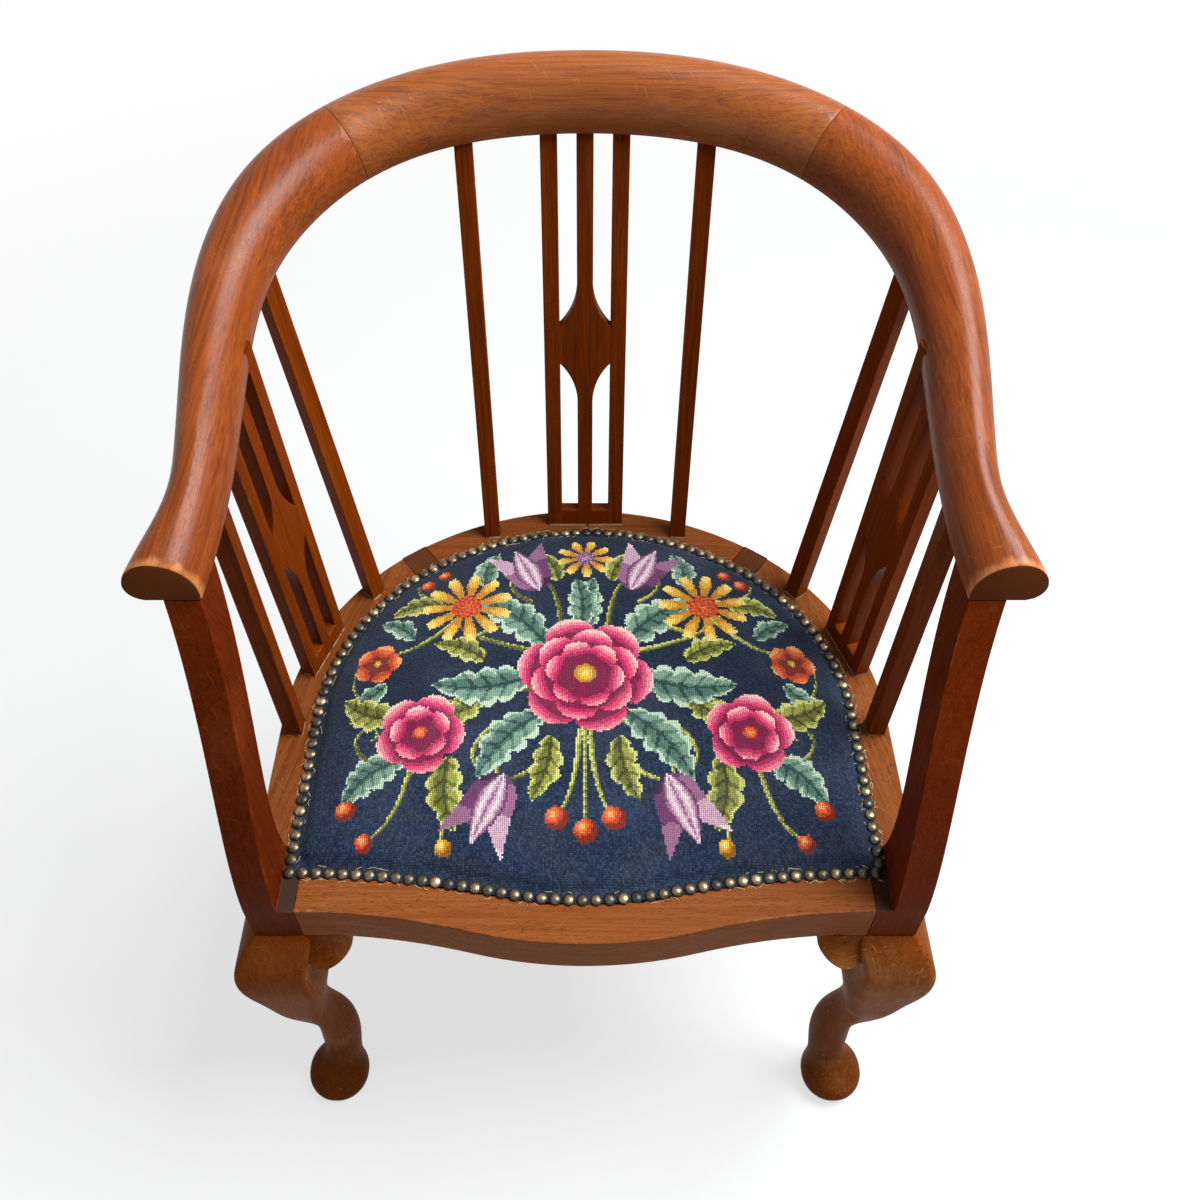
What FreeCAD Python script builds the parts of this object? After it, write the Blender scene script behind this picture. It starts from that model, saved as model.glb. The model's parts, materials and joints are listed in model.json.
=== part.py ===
"""Horseshoe-back tub armchair with a close-nailed needlepoint seat, as a parametric document.

Millimetres, +Z up, floor at z = 0, the front faces -Y and x = 0 is the plane of symmetry. Left and right
are as seen from the front. Depths are measured back from the front corner line of the seat frame, and
spot() moves them so that the origin lies under the middle of the whole chair.
"""

import FreeCAD, Part
import math
import os

import Sketcher
from FreeCAD import Placement, Rotation, Vector

SIZES = [
    ("seat_height", 422, "top of the seat frame above the floor"),
    ("seat_width", 526, "seat frame over its outer side faces"),
    ("seat_depth", 418, "front corner line to the back of the seat frame"),
    ("seat_corner_offset", 28, "middle plane to the centres of the seat frame's corner arcs"),
    ("seat_corner_turn", 36.6, "degrees from the back to the start of the seat frame's corner arcs"),
    ("seat_rail_height", 44, "height of every seat rail"),
    ("seat_rail_width", 58, "side and back seat rails, in plan"),
    ("front_rail_width", 60, "front seat rail at its ends, in plan"),
    ("front_bow", 25, "how far the serpentine front swells forward"),
    ("front_bow_radius", 400, "radius of the swell in the middle of the front"),
    ("post_foot_width", 39, "arm post foot in the seat frame, across the chair"),
    ("post_foot_depth", 54, "arm post foot in the seat frame, front to back"),
    ("post_thickness", 25.5, "arm post above the seat, across the chair"),
    ("post_depth", 38, "arm post above the seat, front to back"),
    ("arm_setback", 96, "front corner line to the end faces of the arms"),
    ("rail_back_height", 806, "underside of the crest rail at its inner back edge"),
    ("rail_setback", 479, "front corner line to the inner back edge of the crest rail"),
    ("rail_slope", 17.5, "degrees that the top rail falls towards the front"),
    ("rail_inner_width", 486, "clear width between the arms"),
    ("rail_corner_offset", 51, "middle plane to the centres of the top rail's corner arcs"),
    ("rail_corner_turn", 12.64, "degrees from the back to the start of the top rail's corner arcs"),
    ("crest_width", 54, "top rail width at the middle of the back"),
    ("corner_width", 60, "top rail width at its corners"),
    ("arm_width", 45, "top rail width where the arms begin"),
    ("waist_width", 35, "narrowest width of the arms"),
    ("arm_end_width", 50, "width of the scrolled arm ends"),
    ("crest_thickness", 49, "top rail thickness at the middle of the back"),
    ("arm_thickness", 35, "top rail thickness along the arms"),
    ("arm_end_thickness", 33, "top rail thickness at the arm ends"),
    ("arm_flare", 9, "how far the inner edge turns out at the arm ends"),
    ("seam_angle", 39, "degrees from the back to the seams of the crest rail"),
    ("spindle_size", 15, "square spindles"),
    ("upright_inset", 13, "outer edge of the seat frame to the middle of the uprights"),
    ("rail_inset", 12, "inner edge of the top rail to the middle of the uprights"),
    ("housing_depth", 13, "how deep an upright is let into each rail"),
    ("joint_clearance", 0.15, "room on each side of a housed joint or dowel"),
    ("splat_width", 74, "pierced back splat"),
    ("side_splat_width", 58, "pierced side splats"),
    ("splat_thickness", 13, "pierced splats"),
    ("stile_share", 0.19, "outer bars of a splat as a share of its width"),
    ("bar_share", 0.19, "middle bar of a splat as a share of its width"),
    ("splat_foot", 17, "solid strip under the slots"),
    ("splat_head", 4, "solid strip over the slots"),
    ("splat_block", 37, "solid block between the lower and upper slots"),
    ("splat_swell", 40, "length over which the middle bar swells into the block"),
    ("back_spindle_angle", 20, "degrees from the back to the feet of the back spindles"),
    ("back_spindle_lean", 4.5, "degrees from straight back of the way that the back spindles lean"),
    ("rear_spindle_angle", 51, "degrees from the back to the rear side spindles"),
    ("side_splat_angle", 71.2, "degrees from the back to the side splats"),
    ("front_spindle_setback", 163, "front corner line to the front side spindles"),
    ("rear_leg_thickness", 26, "rear legs along the seat frame"),
    ("rear_leg_depth", 44, "rear legs under the seat frame"),
    ("rear_leg_straight", 62, "upright length at the top of a rear leg"),
    ("rear_leg_splay", 62, "how far a rear foot stands out"),
    ("rear_foot_depth", 28, "rear legs at the floor"),
    ("shoulder_drop", 33, "front leg, top of the knee below the seat frame"),
    ("shoulder_reach", 20, "front leg, top of the knee beyond the seat frame"),
    ("knee_drop", 68, "front leg, fullest part of the knee below the seat frame"),
    ("knee_reach", 23, "front leg, fullest part beyond the seat frame"),
    ("thigh_drop", 108, "front leg, under the knee, below the seat frame"),
    ("thigh_reach", 18, "front leg, under the knee, beyond the seat frame"),
    ("calf_drop", 153, "front leg, calf below the seat frame"),
    ("calf_reach", 11.5, "front leg, calf beyond the seat frame"),
    ("calf_size", 42, "front leg, thickness at the calf"),
    ("shin_share", 0.46, "front leg, height of the shin as a share of the way from ankle to calf"),
    ("shin_set_in", 4.5, "front leg, shin behind the seat frame's outline"),
    ("shin_size", 34, "front leg, thickness at the shin"),
    ("ankle_height", 85, "front leg, ankle"),
    ("ankle_set_in", 4, "front leg, ankle behind the seat frame's outline"),
    ("ankle_size", 36.5, "front leg, thickness at the ankle"),
    ("instep_height", 42, "front leg, instep"),
    ("instep_reach", 4, "front leg, instep beyond the seat frame"),
    ("instep_size", 41, "front leg, thickness at the instep"),
    ("pad_height", 22, "front leg, upper edge of the pad foot"),
    ("pad_rim", 9, "front leg, lower edge of the pad foot"),
    ("pad_reach", 18.5, "front leg, pad foot beyond the seat frame"),
    ("pad_size", 58, "front leg, diameter of the pad foot"),
    ("sole_size", 48, "front leg, diameter at the floor"),
    ("ear_length", 37, "knee brackets, along the rail"),
    ("ear_tip_height", 13, "knee brackets, height at the tip"),
    ("ear_root_height", 26, "knee brackets, height at the leg"),
    ("ear_fullness", 1.15, "knee brackets, radius of the lower edge over that of a full round"),
    ("ear_thickness", 22, "knee brackets, behind the seat frame's outline"),
    ("glue_gap", 0.3, "between a knee bracket and its leg"),
    ("block_leg", 70, "corner blocks, along each rail"),
    ("block_height", 30, "corner blocks"),
    ("block_drop", 10, "corner blocks, below the top of the seat frame"),
    ("screw_shank", 4, "corner block screws, diameter"),
    ("screw_head", 8, "corner block screws, head diameter"),
    ("screw_head_height", 3, "corner block screws, head height"),
    ("screw_length", 34, "corner block screws, under the head"),
    ("screw_bite", 20, "corner block screws, length in the rail"),
    ("dowel_size", 9, "beech dowels, diameter"),
    ("dowel_length", 36, "short dowels"),
    ("through_dowel_length", 80, "dowels through the rear leg tops"),
    ("dowel_spread", 16, "distance between the two dowels of a seat rail joint"),
    ("front_dowel_share", 0.6, "depth of the front rail's dowels as a share of its width"),
    ("side_dowel_inset", 11.5, "outer edge of the seat frame to the middle of the side rails' dowels"),
    ("webbing_width", 50, "webbing straps"),
    ("webbing_thickness", 1.2, "webbing straps"),
    ("webbing_pitch", 78, "webbing straps, middle to middle"),
    ("webbing_margin", 4, "foot of the seat pad to the ends of the straps under it"),
    ("hessian_thickness", 0.8, "base cloth over the webbing"),
    ("pad_crown", 26, "rise of the seat pad over the frame"),
    ("pad_draw", 112, "foot of the seat pad to the flat of its crown"),
    ("pad_gap", 1, "nail heads to the foot of the covered seat pad"),
    ("layer_gap", 0.2, "between the layers of the seat"),
    ("calico_thickness", 0.6, "undercover"),
    ("cover_thickness", 1.4, "needlepoint cover"),
    ("cover_margin", 4, "line of nails to the edge of the cover"),
    ("nail_clear", 0.9, "arm posts to the nail heads"),
    ("nail_gap", 1.3, "between two nail heads"),
    ("nail_head", 9.2, "nail head diameter"),
    ("nail_rise", 3, "nail head height"),
    ("nail_shank", 1.6, "nail shank diameter"),
    ("nail_length", 10, "nail shank length"),
]

STRAP_COUNT = 4
HALF = 0.5
WIDE = 1200.0

doc = FreeCAD.newDocument("tub_armchair")
sheet = doc.addObject("Spreadsheet::Sheet", "Sizes")
for row, (alias, number, note) in enumerate(SIZES, start=1):
    sheet.set(f"A{row}", alias)
    sheet.set(f"B{row}", str(number))
    sheet.setAlias(f"B{row}", alias)
    sheet.set(f"C{row}", note)
worked = doc.addObject("Spreadsheet::Sheet", "Worked")
doc.recompute()

nodes = []


def size(alias):
    """Return one driving dimension."""
    return float(sheet.get(alias))


def keep(feature, label):
    """Give a finished piece its name and list it for export."""
    feature.Label = label
    nodes.append(feature)
    return feature


def bind(feature, **expressions):
    """Tie properties of a feature to the sheet."""
    for name, expression in expressions.items():
        feature.setExpression(name, expression)
    return feature


def work_out(alias, number):
    """Keep a worked-out length or slope in the second sheet and return its expression."""
    cell = f"B{len(worked.getUsedCells()) + 1}"
    worked.set(cell, repr(number))
    worked.setAlias(cell, alias)
    doc.recompute()
    return f"Worked.{alias}"


class Horseshoe:
    """A three-centred outline: one back arc, two corner arcs and straight sides."""

    def __init__(self, width, corner_offset, turn, back):
        self.half_width = width * HALF
        self.turn = math.radians(turn)
        self.back = back
        spare = corner_offset / math.sin(self.turn)
        self.corner_radius = self.half_width - corner_offset
        self.back_radius = self.corner_radius + spare
        self.back_centre = Vector(0, back - self.back_radius, 0)
        self.corner_centre = self.back_centre + Vector(math.sin(self.turn), math.cos(self.turn), 0) * spare

    def point(self, angle, inset=0.0):
        """Return the point whose outward normal is at this angle from the back, set in by inset."""
        normal = Vector(math.sin(angle), math.cos(angle), 0)
        if angle <= self.turn:
            return self.back_centre + normal * (self.back_radius - inset)
        return self.corner_centre + normal * (self.corner_radius - inset)

    def outside(self, point):
        """Return how far a point with x >= 0 lies outside the outline."""
        if point.y <= self.corner_centre.y:
            return point.x - self.half_width
        if math.atan2(point.x, point.y - self.back_centre.y) <= self.turn:
            return (point - self.back_centre).Length - self.back_radius
        return (point - self.corner_centre).Length - self.corner_radius


seat = Horseshoe(
    size("seat_width"), size("seat_corner_offset"), size("seat_corner_turn"), size("seat_depth")
)
rail = Horseshoe(size("rail_inner_width"), size("rail_corner_offset"), size("rail_corner_turn"), 0.0)
slope = math.radians(size("rail_slope"))
seat_top = size("seat_height")
seat_floor = seat_top - size("seat_rail_height")
half_seat = seat.half_width
quarter = math.pi * HALF
back_bend = work_out("seat_back_radius", seat.back_radius)
corner_bend = work_out("seat_corner_radius", seat.corner_radius)
straight_length = work_out("side_straight", seat.corner_centre.y - size("post_foot_depth"))
UP = Vector(0, 0, 1)
EAST = Vector(1, 0, 0)
NORTH = Vector(0, 1, 0)

# Top rail: one horseshoe of D sections, flat below, that is sawn into a crest and two arms.
# Section corners as shares of its width and thickness: inner face, crown, outer roll and underside.
RAIL_SECTION = ((0.0, 0.0), (0.09, 0.62), (0.5, 1.0), (0.87, 0.86), (1.0, 0.5), (0.95, 0.16), (0.8, 0.0))
# Share of the way from the crest's section to the corner's that is reached where the corner arcs start.
CREST_SWELL = 0.4
# Places of the sections, as shares of a corner arc and of an arm. An arm is made a little long at first.
CORNER_SECTIONS = (0.25, 0.5, 0.75, 1.0)
ARM_WAIST = 0.62
ARM_SECTIONS = (ARM_WAIST * HALF, ARM_WAIST, 0.82, 1.0, 1.12)
FLARE_START = 0.55


def rail_wire(point, normal, width, thickness):
    """Return one D section in the plane of the top rail."""
    spots = [point + normal * (width * across) + UP * (thickness * up) for across, up in RAIL_SECTION]
    arcs = [Part.Arc(*spots[start : start + 3]) for start in (0, 2, 4)]
    flat = Part.LineSegment(spots[6], spots[0])
    return Part.Wire([curve.toShape() for curve in (*arcs, flat)])


def between(first, second, share):
    """Return a width and thickness part of the way from one section to another."""
    return [a + (b - a) * share for a, b in zip(first, second)]


def rail_blank():
    """Return the whole top rail, its arms a little long, in the plane of the rail."""
    run = size("rail_setback") + rail.corner_centre.y * math.cos(slope) - size("arm_setback")
    arm_length = run / math.cos(slope)
    crest = (size("crest_width"), size("crest_thickness"))
    corner = (size("corner_width"), (size("crest_thickness") + size("arm_thickness")) * HALF)
    arm = (size("arm_width"), size("arm_thickness"))
    waist = (size("waist_width"), size("arm_thickness"))
    end = (size("arm_end_width"), size("arm_end_thickness"))
    stations = [(rail.point(0), 0.0, crest)]
    stations.append((rail.point(rail.turn), rail.turn, between(crest, corner, CREST_SWELL)))
    for share in CORNER_SECTIONS:
        angle = rail.turn + (quarter - rail.turn) * share
        if share <= HALF:
            section = between(crest, corner, CREST_SWELL + (1 - CREST_SWELL) * 2 * share)
        else:
            section = between(corner, arm, 2 * share - 1)
        stations.append((rail.point(angle), angle, section))
    for share in ARM_SECTIONS:
        flare = size("arm_flare") * max(0.0, (share - FLARE_START) / (1 - FLARE_START)) ** 2
        place = Vector(rail.half_width + flare, rail.corner_centre.y - arm_length * share, 0)
        if share <= ARM_WAIST:
            section = between(arm, waist, share / ARM_WAIST)
        else:
            section = between(waist, end, (share - ARM_WAIST) / (1 - ARM_WAIST))
        stations.append((place, quarter, section))
    wires = []
    for side in (-1, 1):
        half = stations[::-1] if side < 0 else stations[1:]
        for place, angle, section in half:
            normal = Vector(side * math.sin(angle), math.cos(angle), 0)
            wires.append(rail_wire(Vector(side * place.x, place.y, 0), normal, *section))
    return Part.makeLoft(wires, True, False)


# The back of the sloping crest rail is rearmost, and the swell of the front, a knee or a foot is foremost.
rail_form = rail_blank()
tilted_rail = rail_form.rotated(Vector(), EAST, size("rail_slope"))
crest_back = size("rail_setback") + tilted_rail.optimalBoundingBox(False).YMax
front_reach = max(size("front_bow"), size("knee_reach"), size("pad_reach"))
middle = (crest_back - front_reach) * HALF


def spot(x, depth, z):
    """Return a point in the chair's own frame."""
    return Vector(x, depth - middle, z)


rail_frame = Placement(
    spot(0, size("rail_setback"), size("rail_back_height")), Rotation(EAST, size("rail_slope"))
)


def plane_of(body, role):
    """Return one of a body's own origin planes."""
    return next(item for item in body.Origin.OriginFeatures if item.Role == role)


def arc_through(start, end, radius):
    """Return an arc between two points, counter-clockwise, as sketches keep them.

    It bulges to the right of the way from start to end, or to the left if the radius is negative.
    """
    way = end - start
    right = Vector(way.y, -way.x, 0).normalize()
    rise = math.sqrt(radius * radius - way.Length ** 2 / 4)
    side = math.copysign(1.0, radius)
    crown = (start + end) * HALF + right * side * (abs(radius) - rise)
    return Part.Arc(start, crown, end) if radius > 0 else Part.Arc(end, crown, start)


def sketch_on(body, role, name):
    """Add a sketch to one of a body's origin planes."""
    sketch = body.newObject("Sketcher::SketchObject", name)
    sketch.AttachmentSupport = [(plane_of(body, role), "")]
    sketch.MapMode = "FlatFace"
    return sketch


def outline(sketch, corners, radii=None):
    """Draw a closed outline whose corners and radii are expressions of the sheets.

    radii maps the number of an edge to its radius, which bulges to the right of the way round.
    """
    radii = radii or {}
    points = [Vector(sheet.evalExpression(x), sheet.evalExpression(y), 0) for x, y in corners]
    first = sketch.GeometryCount
    ends = []
    for index, start in enumerate(points):
        end = points[(index + 1) % len(points)]
        if index in radii:
            curve = arc_through(start, end, sheet.evalExpression(radii[index]))
            forward = sheet.evalExpression(radii[index]) > 0
            ends.append((sketch.addGeometry(curve), *((1, 2) if forward else (2, 1))))
        else:
            ends.append((sketch.addGeometry(Part.LineSegment(start, end)), 1, 2))
    for index, (number, head, tail) in enumerate(ends):
        following = ends[(index + 1) % len(ends)]
        sketch.addConstraint(Sketcher.Constraint("Coincident", number, tail, following[0], following[1]))
        for kind, expression, at in (
            ("DistanceX", corners[index][0], points[index].x),
            ("DistanceY", corners[index][1], points[index].y),
        ):
            mark = sketch.addConstraint(Sketcher.Constraint(kind, -1, 1, number, head, at))
            sketch.setExpression(f"Constraints[{mark}]", expression)
        if index in radii:
            mark = sketch.addConstraint(
                Sketcher.Constraint("Radius", first + index, abs(sheet.evalExpression(radii[index])))
            )
            sketch.setExpression(f"Constraints[{mark}]", f"abs({radii[index]})")
    return sketch


def padded(name, role, corners, thickness, radii=None, symmetric=False):
    """Return a body padded from one outline."""
    body = doc.addObject("PartDesign::Body", name)
    sketch = outline(sketch_on(body, role, f"{name}_outline"), corners, radii)
    pad = body.newObject("PartDesign::Pad", f"{name}_pad")
    pad.Profile = sketch
    pad.setExpression("Length", thickness)
    if symmetric:
        pad.SideType = "Symmetric"
    doc.recompute()
    return body


def pocketed(body, role, outlines):
    """Cut outlines right through a body and check that they cut it."""
    whole = body.Shape.Volume
    sketch = sketch_on(body, role, f"{body.Name}_cutout")
    for corners, radii in outlines:
        outline(sketch, corners, radii)
    pocket = body.newObject("PartDesign::Pocket", f"{body.Name}_pocket")
    pocket.Profile = sketch
    pocket.Type = "ThroughAll"
    pocket.SideType = "Symmetric"
    doc.recompute()
    if not body.Shape.Volume < whole:
        raise ValueError(f"the pocket in {body.Name} cuts nothing")
    return body


def box(name, length, width, height, placement):
    """Return a box bound to the sheet, its corner at the placement."""
    feature = bind(doc.addObject("Part::Box", name), Length=length, Width=width, Height=height)
    feature.Placement = placement
    return feature


def rod(name, diameter, length, start, direction):
    """Return a cylinder bound to the sheet that runs from start."""
    feature = bind(doc.addObject("Part::Cylinder", name), Radius=f"({diameter}) / 2", Height=length)
    feature.Placement = Placement(start, Rotation(UP, direction))
    return feature


def solid(name, shape, placement=None):
    """Return a feature that holds a shape made point by point."""
    feature = doc.addObject("Part::Feature", name)
    feature.Shape = shape
    if placement:
        feature.Placement = placement
    return feature


def joined(name, pieces):
    """Return a fuse of several features."""
    feature = doc.addObject("Part::MultiFuse", name)
    feature.Shapes = pieces
    return feature


def gathered(name, pieces):
    """Return a group of separate solids."""
    feature = doc.addObject("Part::Compound", name)
    feature.Links = pieces
    return feature


def cut(name, base, tools):
    """Return base with every tool cut away."""
    feature = doc.addObject("Part::Cut", name)
    feature.Base = base
    feature.Tool = tools[0] if len(tools) == 1 else gathered(f"{name}_tools", tools)
    return feature


def common(name, base, tool):
    """Return what two features share."""
    feature = doc.addObject("Part::Common", name)
    feature.Base = base
    feature.Tool = tool
    return feature


def mirrored(name, source, normal=EAST, base=Vector()):
    """Return the mirror image of a feature."""
    feature = doc.addObject("Part::Mirroring", name)
    feature.Source = source
    feature.Base = base
    feature.Normal = normal
    return feature


def keep_pair(right, label):
    """List a right-hand piece and its left-hand mirror image."""
    keep(right, f"{label}_right")
    keep(mirrored(f"{label}_mirror", right), f"{label}_left")


CLEARANCE = "Sizes.joint_clearance"
REACH = "Sizes.housing_depth"


class Upright:
    """A spindle or splat that stands on the seat frame and is let into the top rail."""

    def __init__(self, name, width, thickness, foot, normal):
        self.name = name
        self.width = width
        self.thickness = thickness
        self.foot = Vector(foot.x, foot.y, seat_top)
        self.head = self.find_head(normal)
        axis = (self.head - self.foot).normalize()
        across = Vector(normal.y, -normal.x, 0)
        base = spot(self.foot.x, self.foot.y, self.foot.z)
        self.frame = Placement(base, Rotation(across, axis.cross(across), axis, "ZXY"))
        plane = Vector(0, -math.sin(slope), math.cos(slope))
        self.length = work_out(f"{name}_length", (self.head - self.foot).Length)
        self.fall = work_out(f"{name}_fall", -plane.dot(across) / plane.dot(axis))

    def find_head(self, normal):
        """Return where the middle line meets the underside of the top rail."""
        near, far = -size("seat_rail_width"), WIDE

        def over(distance):
            plan = self.foot + normal * distance
            return rail.outside(Vector(plan.x, (plan.y - size("rail_setback")) / math.cos(slope), 0))

        while far - near > 1e-6:
            half_way = (near + far) * HALF
            if over(half_way) < size("rail_inset"):
                near = half_way
            else:
                far = half_way
        plan = self.foot + normal * near
        run = size("rail_setback") - plan.y
        return Vector(plan.x, plan.y, size("rail_back_height") - run * math.tan(slope))

    def bar(self, name, room):
        """Return the plain bar, let into both rails, larger all round by room."""
        half = f"({self.width} / 2 + {room})"
        low = f"-({REACH} + {room})"
        high = f"({self.length} + {REACH} + {room}"
        corners = [
            (f"-{half}", low),
            (half, low),
            (half, f"{high} + {self.fall} * {half})"),
            (f"-{half}", f"{high} - {self.fall} * {half})"),
        ]
        body = padded(name, "XZ_Plane", corners, f"{self.thickness} + 2 * {room}", symmetric=True)
        body.Placement = self.frame
        return body

    def piece(self):
        """Return the finished spindle."""
        return self.bar(self.name, "0")

    def housing(self):
        """Return the hole that the upright leaves in the two rails."""
        return self.bar(f"{self.name}_housing", CLEARANCE)


class Splat(Upright):
    """A splat pierced by two lower and two upper slots that run to a point beside the block."""

    def slot(self, side, upper):
        """Return the outline of one slot."""
        inner = f"({side} * {self.width} * Sizes.bar_share / 2)"
        outer = f"({side} * {self.width} * (1 / 2 - Sizes.stile_share))"
        sense = 1 if upper else -1
        tip = f"({self.length} / 2 + {sense} * Sizes.splat_block / 2)"
        root = f"({tip} + {sense} * Sizes.splat_swell)"
        end = "Sizes.splat_foot"
        inner_end = outer_end = end
        if upper:
            inner_end = f"({self.length} - Sizes.splat_head + {self.fall} * {inner})"
            outer_end = f"({self.length} - Sizes.splat_head + {self.fall} * {outer})"
        slot_width = f"({self.width} * ((1 - Sizes.bar_share) / 2 - Sizes.stile_share))"
        bend = f"({slot_width} / 2 + Sizes.splat_swell ^ 2 / (2 * {slot_width}))"
        corners = [(inner, inner_end), (outer, outer_end), (outer, tip), (inner, root)]
        return corners, {2: f"{-side * sense} * {bend}"}

    def piece(self):
        """Return the finished, pierced splat."""
        slots = [self.slot(side, upper) for side in (1, -1) for upper in (False, True)]
        return pocketed(super().piece(), "XZ_Plane", slots)


def seat_outline(inset):
    """Return the closed outline of the seat frame, set in all round, in the plane of its top."""
    span = half_seat - inset
    share = span / half_seat
    bow = size("front_bow") * share
    turn = 2 * math.atan(bow / span)
    swell = size("front_bow_radius") * share
    hollow = span / math.sin(turn) - swell
    rise = hollow * (1 - math.cos(turn))
    bend_x = swell * math.sin(turn)
    half_turn = math.sin(turn * HALF), 1 - math.cos(turn * HALF)

    def at(x, depth):
        return spot(x, depth, seat_top)

    def ring(angle):
        place = seat.point(abs(angle), inset)
        return at(math.copysign(place.x, angle), place.y)

    front = inset
    corner = (seat.turn + quarter) * HALF
    edges = []
    for side in (-1, 1):
        wing = [
            at(side * span, front),
            at(side * (span - hollow * half_turn[0]), front - hollow * half_turn[1]),
            at(side * bend_x, front - rise),
        ]
        edges.append(Part.Arc(*(wing if side < 0 else wing[::-1])))
    swelling = Part.Arc(at(-bend_x, front - rise), at(0, front - bow), at(bend_x, front - rise))
    edges.insert(1, swelling)
    edges.append(Part.LineSegment(at(span, front), ring(quarter)))
    edges.append(Part.Arc(ring(quarter), ring(corner), ring(seat.turn)))
    edges.append(Part.Arc(ring(seat.turn), at(0, seat.back - inset), ring(-seat.turn)))
    edges.append(Part.Arc(ring(-seat.turn), ring(-corner), ring(-quarter)))
    edges.append(Part.LineSegment(ring(-quarter), at(-span, front)))
    return Part.Wire([edge.toShape() for edge in edges])


def seat_plate(inset, thickness, lift=0.0):
    """Return a flat plate of the seat's outline, standing on the frame or lifted over it."""
    plate = Part.Face(seat_outline(inset)).extrude(UP * thickness)
    plate.translate(UP * lift)
    return plate


# The layers of the seat lie over one another with a gap, and its foot keeps clear of the nail heads.
gap = size("layer_gap")
calico_out = gap + size("calico_thickness")
cover_out = calico_out + gap + size("cover_thickness")
nail_radius = size("nail_head") * HALF
nail_inset = size("post_thickness") + size("nail_clear") + nail_radius
pad_inset = nail_inset + nail_radius + size("pad_gap") + cover_out
DOME_SECTIONS = 7


def seat_dome(grow):
    """Return the crowned form of the seat pad, larger by grow at its sides and top."""
    wires = []
    for number in range(DOME_SECTIONS):
        lean = quarter * number / (DOME_SECTIONS - 1)
        wire = seat_outline(pad_inset + size("pad_draw") * (1 - math.cos(lean)) - grow)
        wire.translate(UP * (math.sin(lean) * (size("pad_crown") + grow)))
        wires.append(wire)
    return Part.makeLoft(wires, True, False)


# Uprights, from the middle of the back round to the front, right-hand side.
def ring_upright(kind, name, stock, degrees, lean=None):
    """Return an upright that stands where the seat frame's normal is at this angle from the back.

    stock names its width and thickness. It leans along that normal, or at an angle of its own.
    """
    foot = seat.point(math.radians(degrees), size("upright_inset"))
    way = math.radians(degrees if lean is None else lean)
    return kind(name, *stock, foot, Vector(math.sin(way), math.cos(way), 0))


BACK_BOARD = ("Sizes.splat_width", "Sizes.splat_thickness")
SIDE_BOARD = ("Sizes.side_splat_width", "Sizes.splat_thickness")
SQUARE = ("Sizes.spindle_size", "Sizes.spindle_size")
back_splat = ring_upright(Splat, "back_splat", BACK_BOARD, 0.0)
side_splat = ring_upright(Splat, "side_splat", SIDE_BOARD, size("side_splat_angle"))
back_spindle = ring_upright(
    Upright, "back_spindle", SQUARE, size("back_spindle_angle"), size("back_spindle_lean")
)
rear_spindle = ring_upright(Upright, "rear_side_spindle", SQUARE, size("rear_spindle_angle"))
front_foot = Vector(half_seat - size("upright_inset"), size("front_spindle_setback"), 0)
front_spindle = Upright("front_side_spindle", *SQUARE, front_foot, EAST)
side_uprights = (back_spindle, rear_spindle, side_splat, front_spindle)

keep(back_splat.piece(), "back_splat")
back_housing = back_splat.housing()
housings = {}
for upright in side_uprights:
    keep_pair(upright.piece(), upright.name)
    right_hole = upright.housing()
    housings[upright.name] = (right_hole, mirrored(f"{upright.name}_hole_mirror", right_hole))

# Dowels: name of the group, list of (length expression, start, direction).
dowel_groups = {}
dowel_holes = {}


def dowel(group, length, middle_point, direction):
    """Add a dowel and its hole to a group, and return the hole."""
    pieces = dowel_groups.setdefault(group, [])
    name = f"{group}_{len(pieces) + 1}"
    direction = direction.normalize()
    reach = sheet.evalExpression(length) * HALF
    pieces.append(rod(name, "Sizes.dowel_size", length, middle_point - direction * reach, direction))
    start = middle_point - direction * (reach + size("joint_clearance"))
    wide = f"Sizes.dowel_size + 2 * {CLEARANCE}"
    hole = rod(f"{name}_hole", wide, f"{length} + 2 * {CLEARANCE}", start, direction)
    dowel_holes.setdefault(group, []).append(hole)
    return hole


SHORT = "Sizes.dowel_length"
LONG = "Sizes.through_dowel_length"
# Dowels of the crest's seams, as shares of the corner's width and of the arm's thickness.
SEAM_DOWELS = (0.32, 0.64)
SEAM_DOWEL_RISE = 0.46
# The dowels of the seat frame lie in the middle of the wood below the points of the nails.
mid_frame = seat_floor + (size("seat_rail_height") - size("nail_length")) * HALF
spread = size("dowel_spread") * HALF
foot_inner = half_seat - size("post_foot_width")
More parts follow.
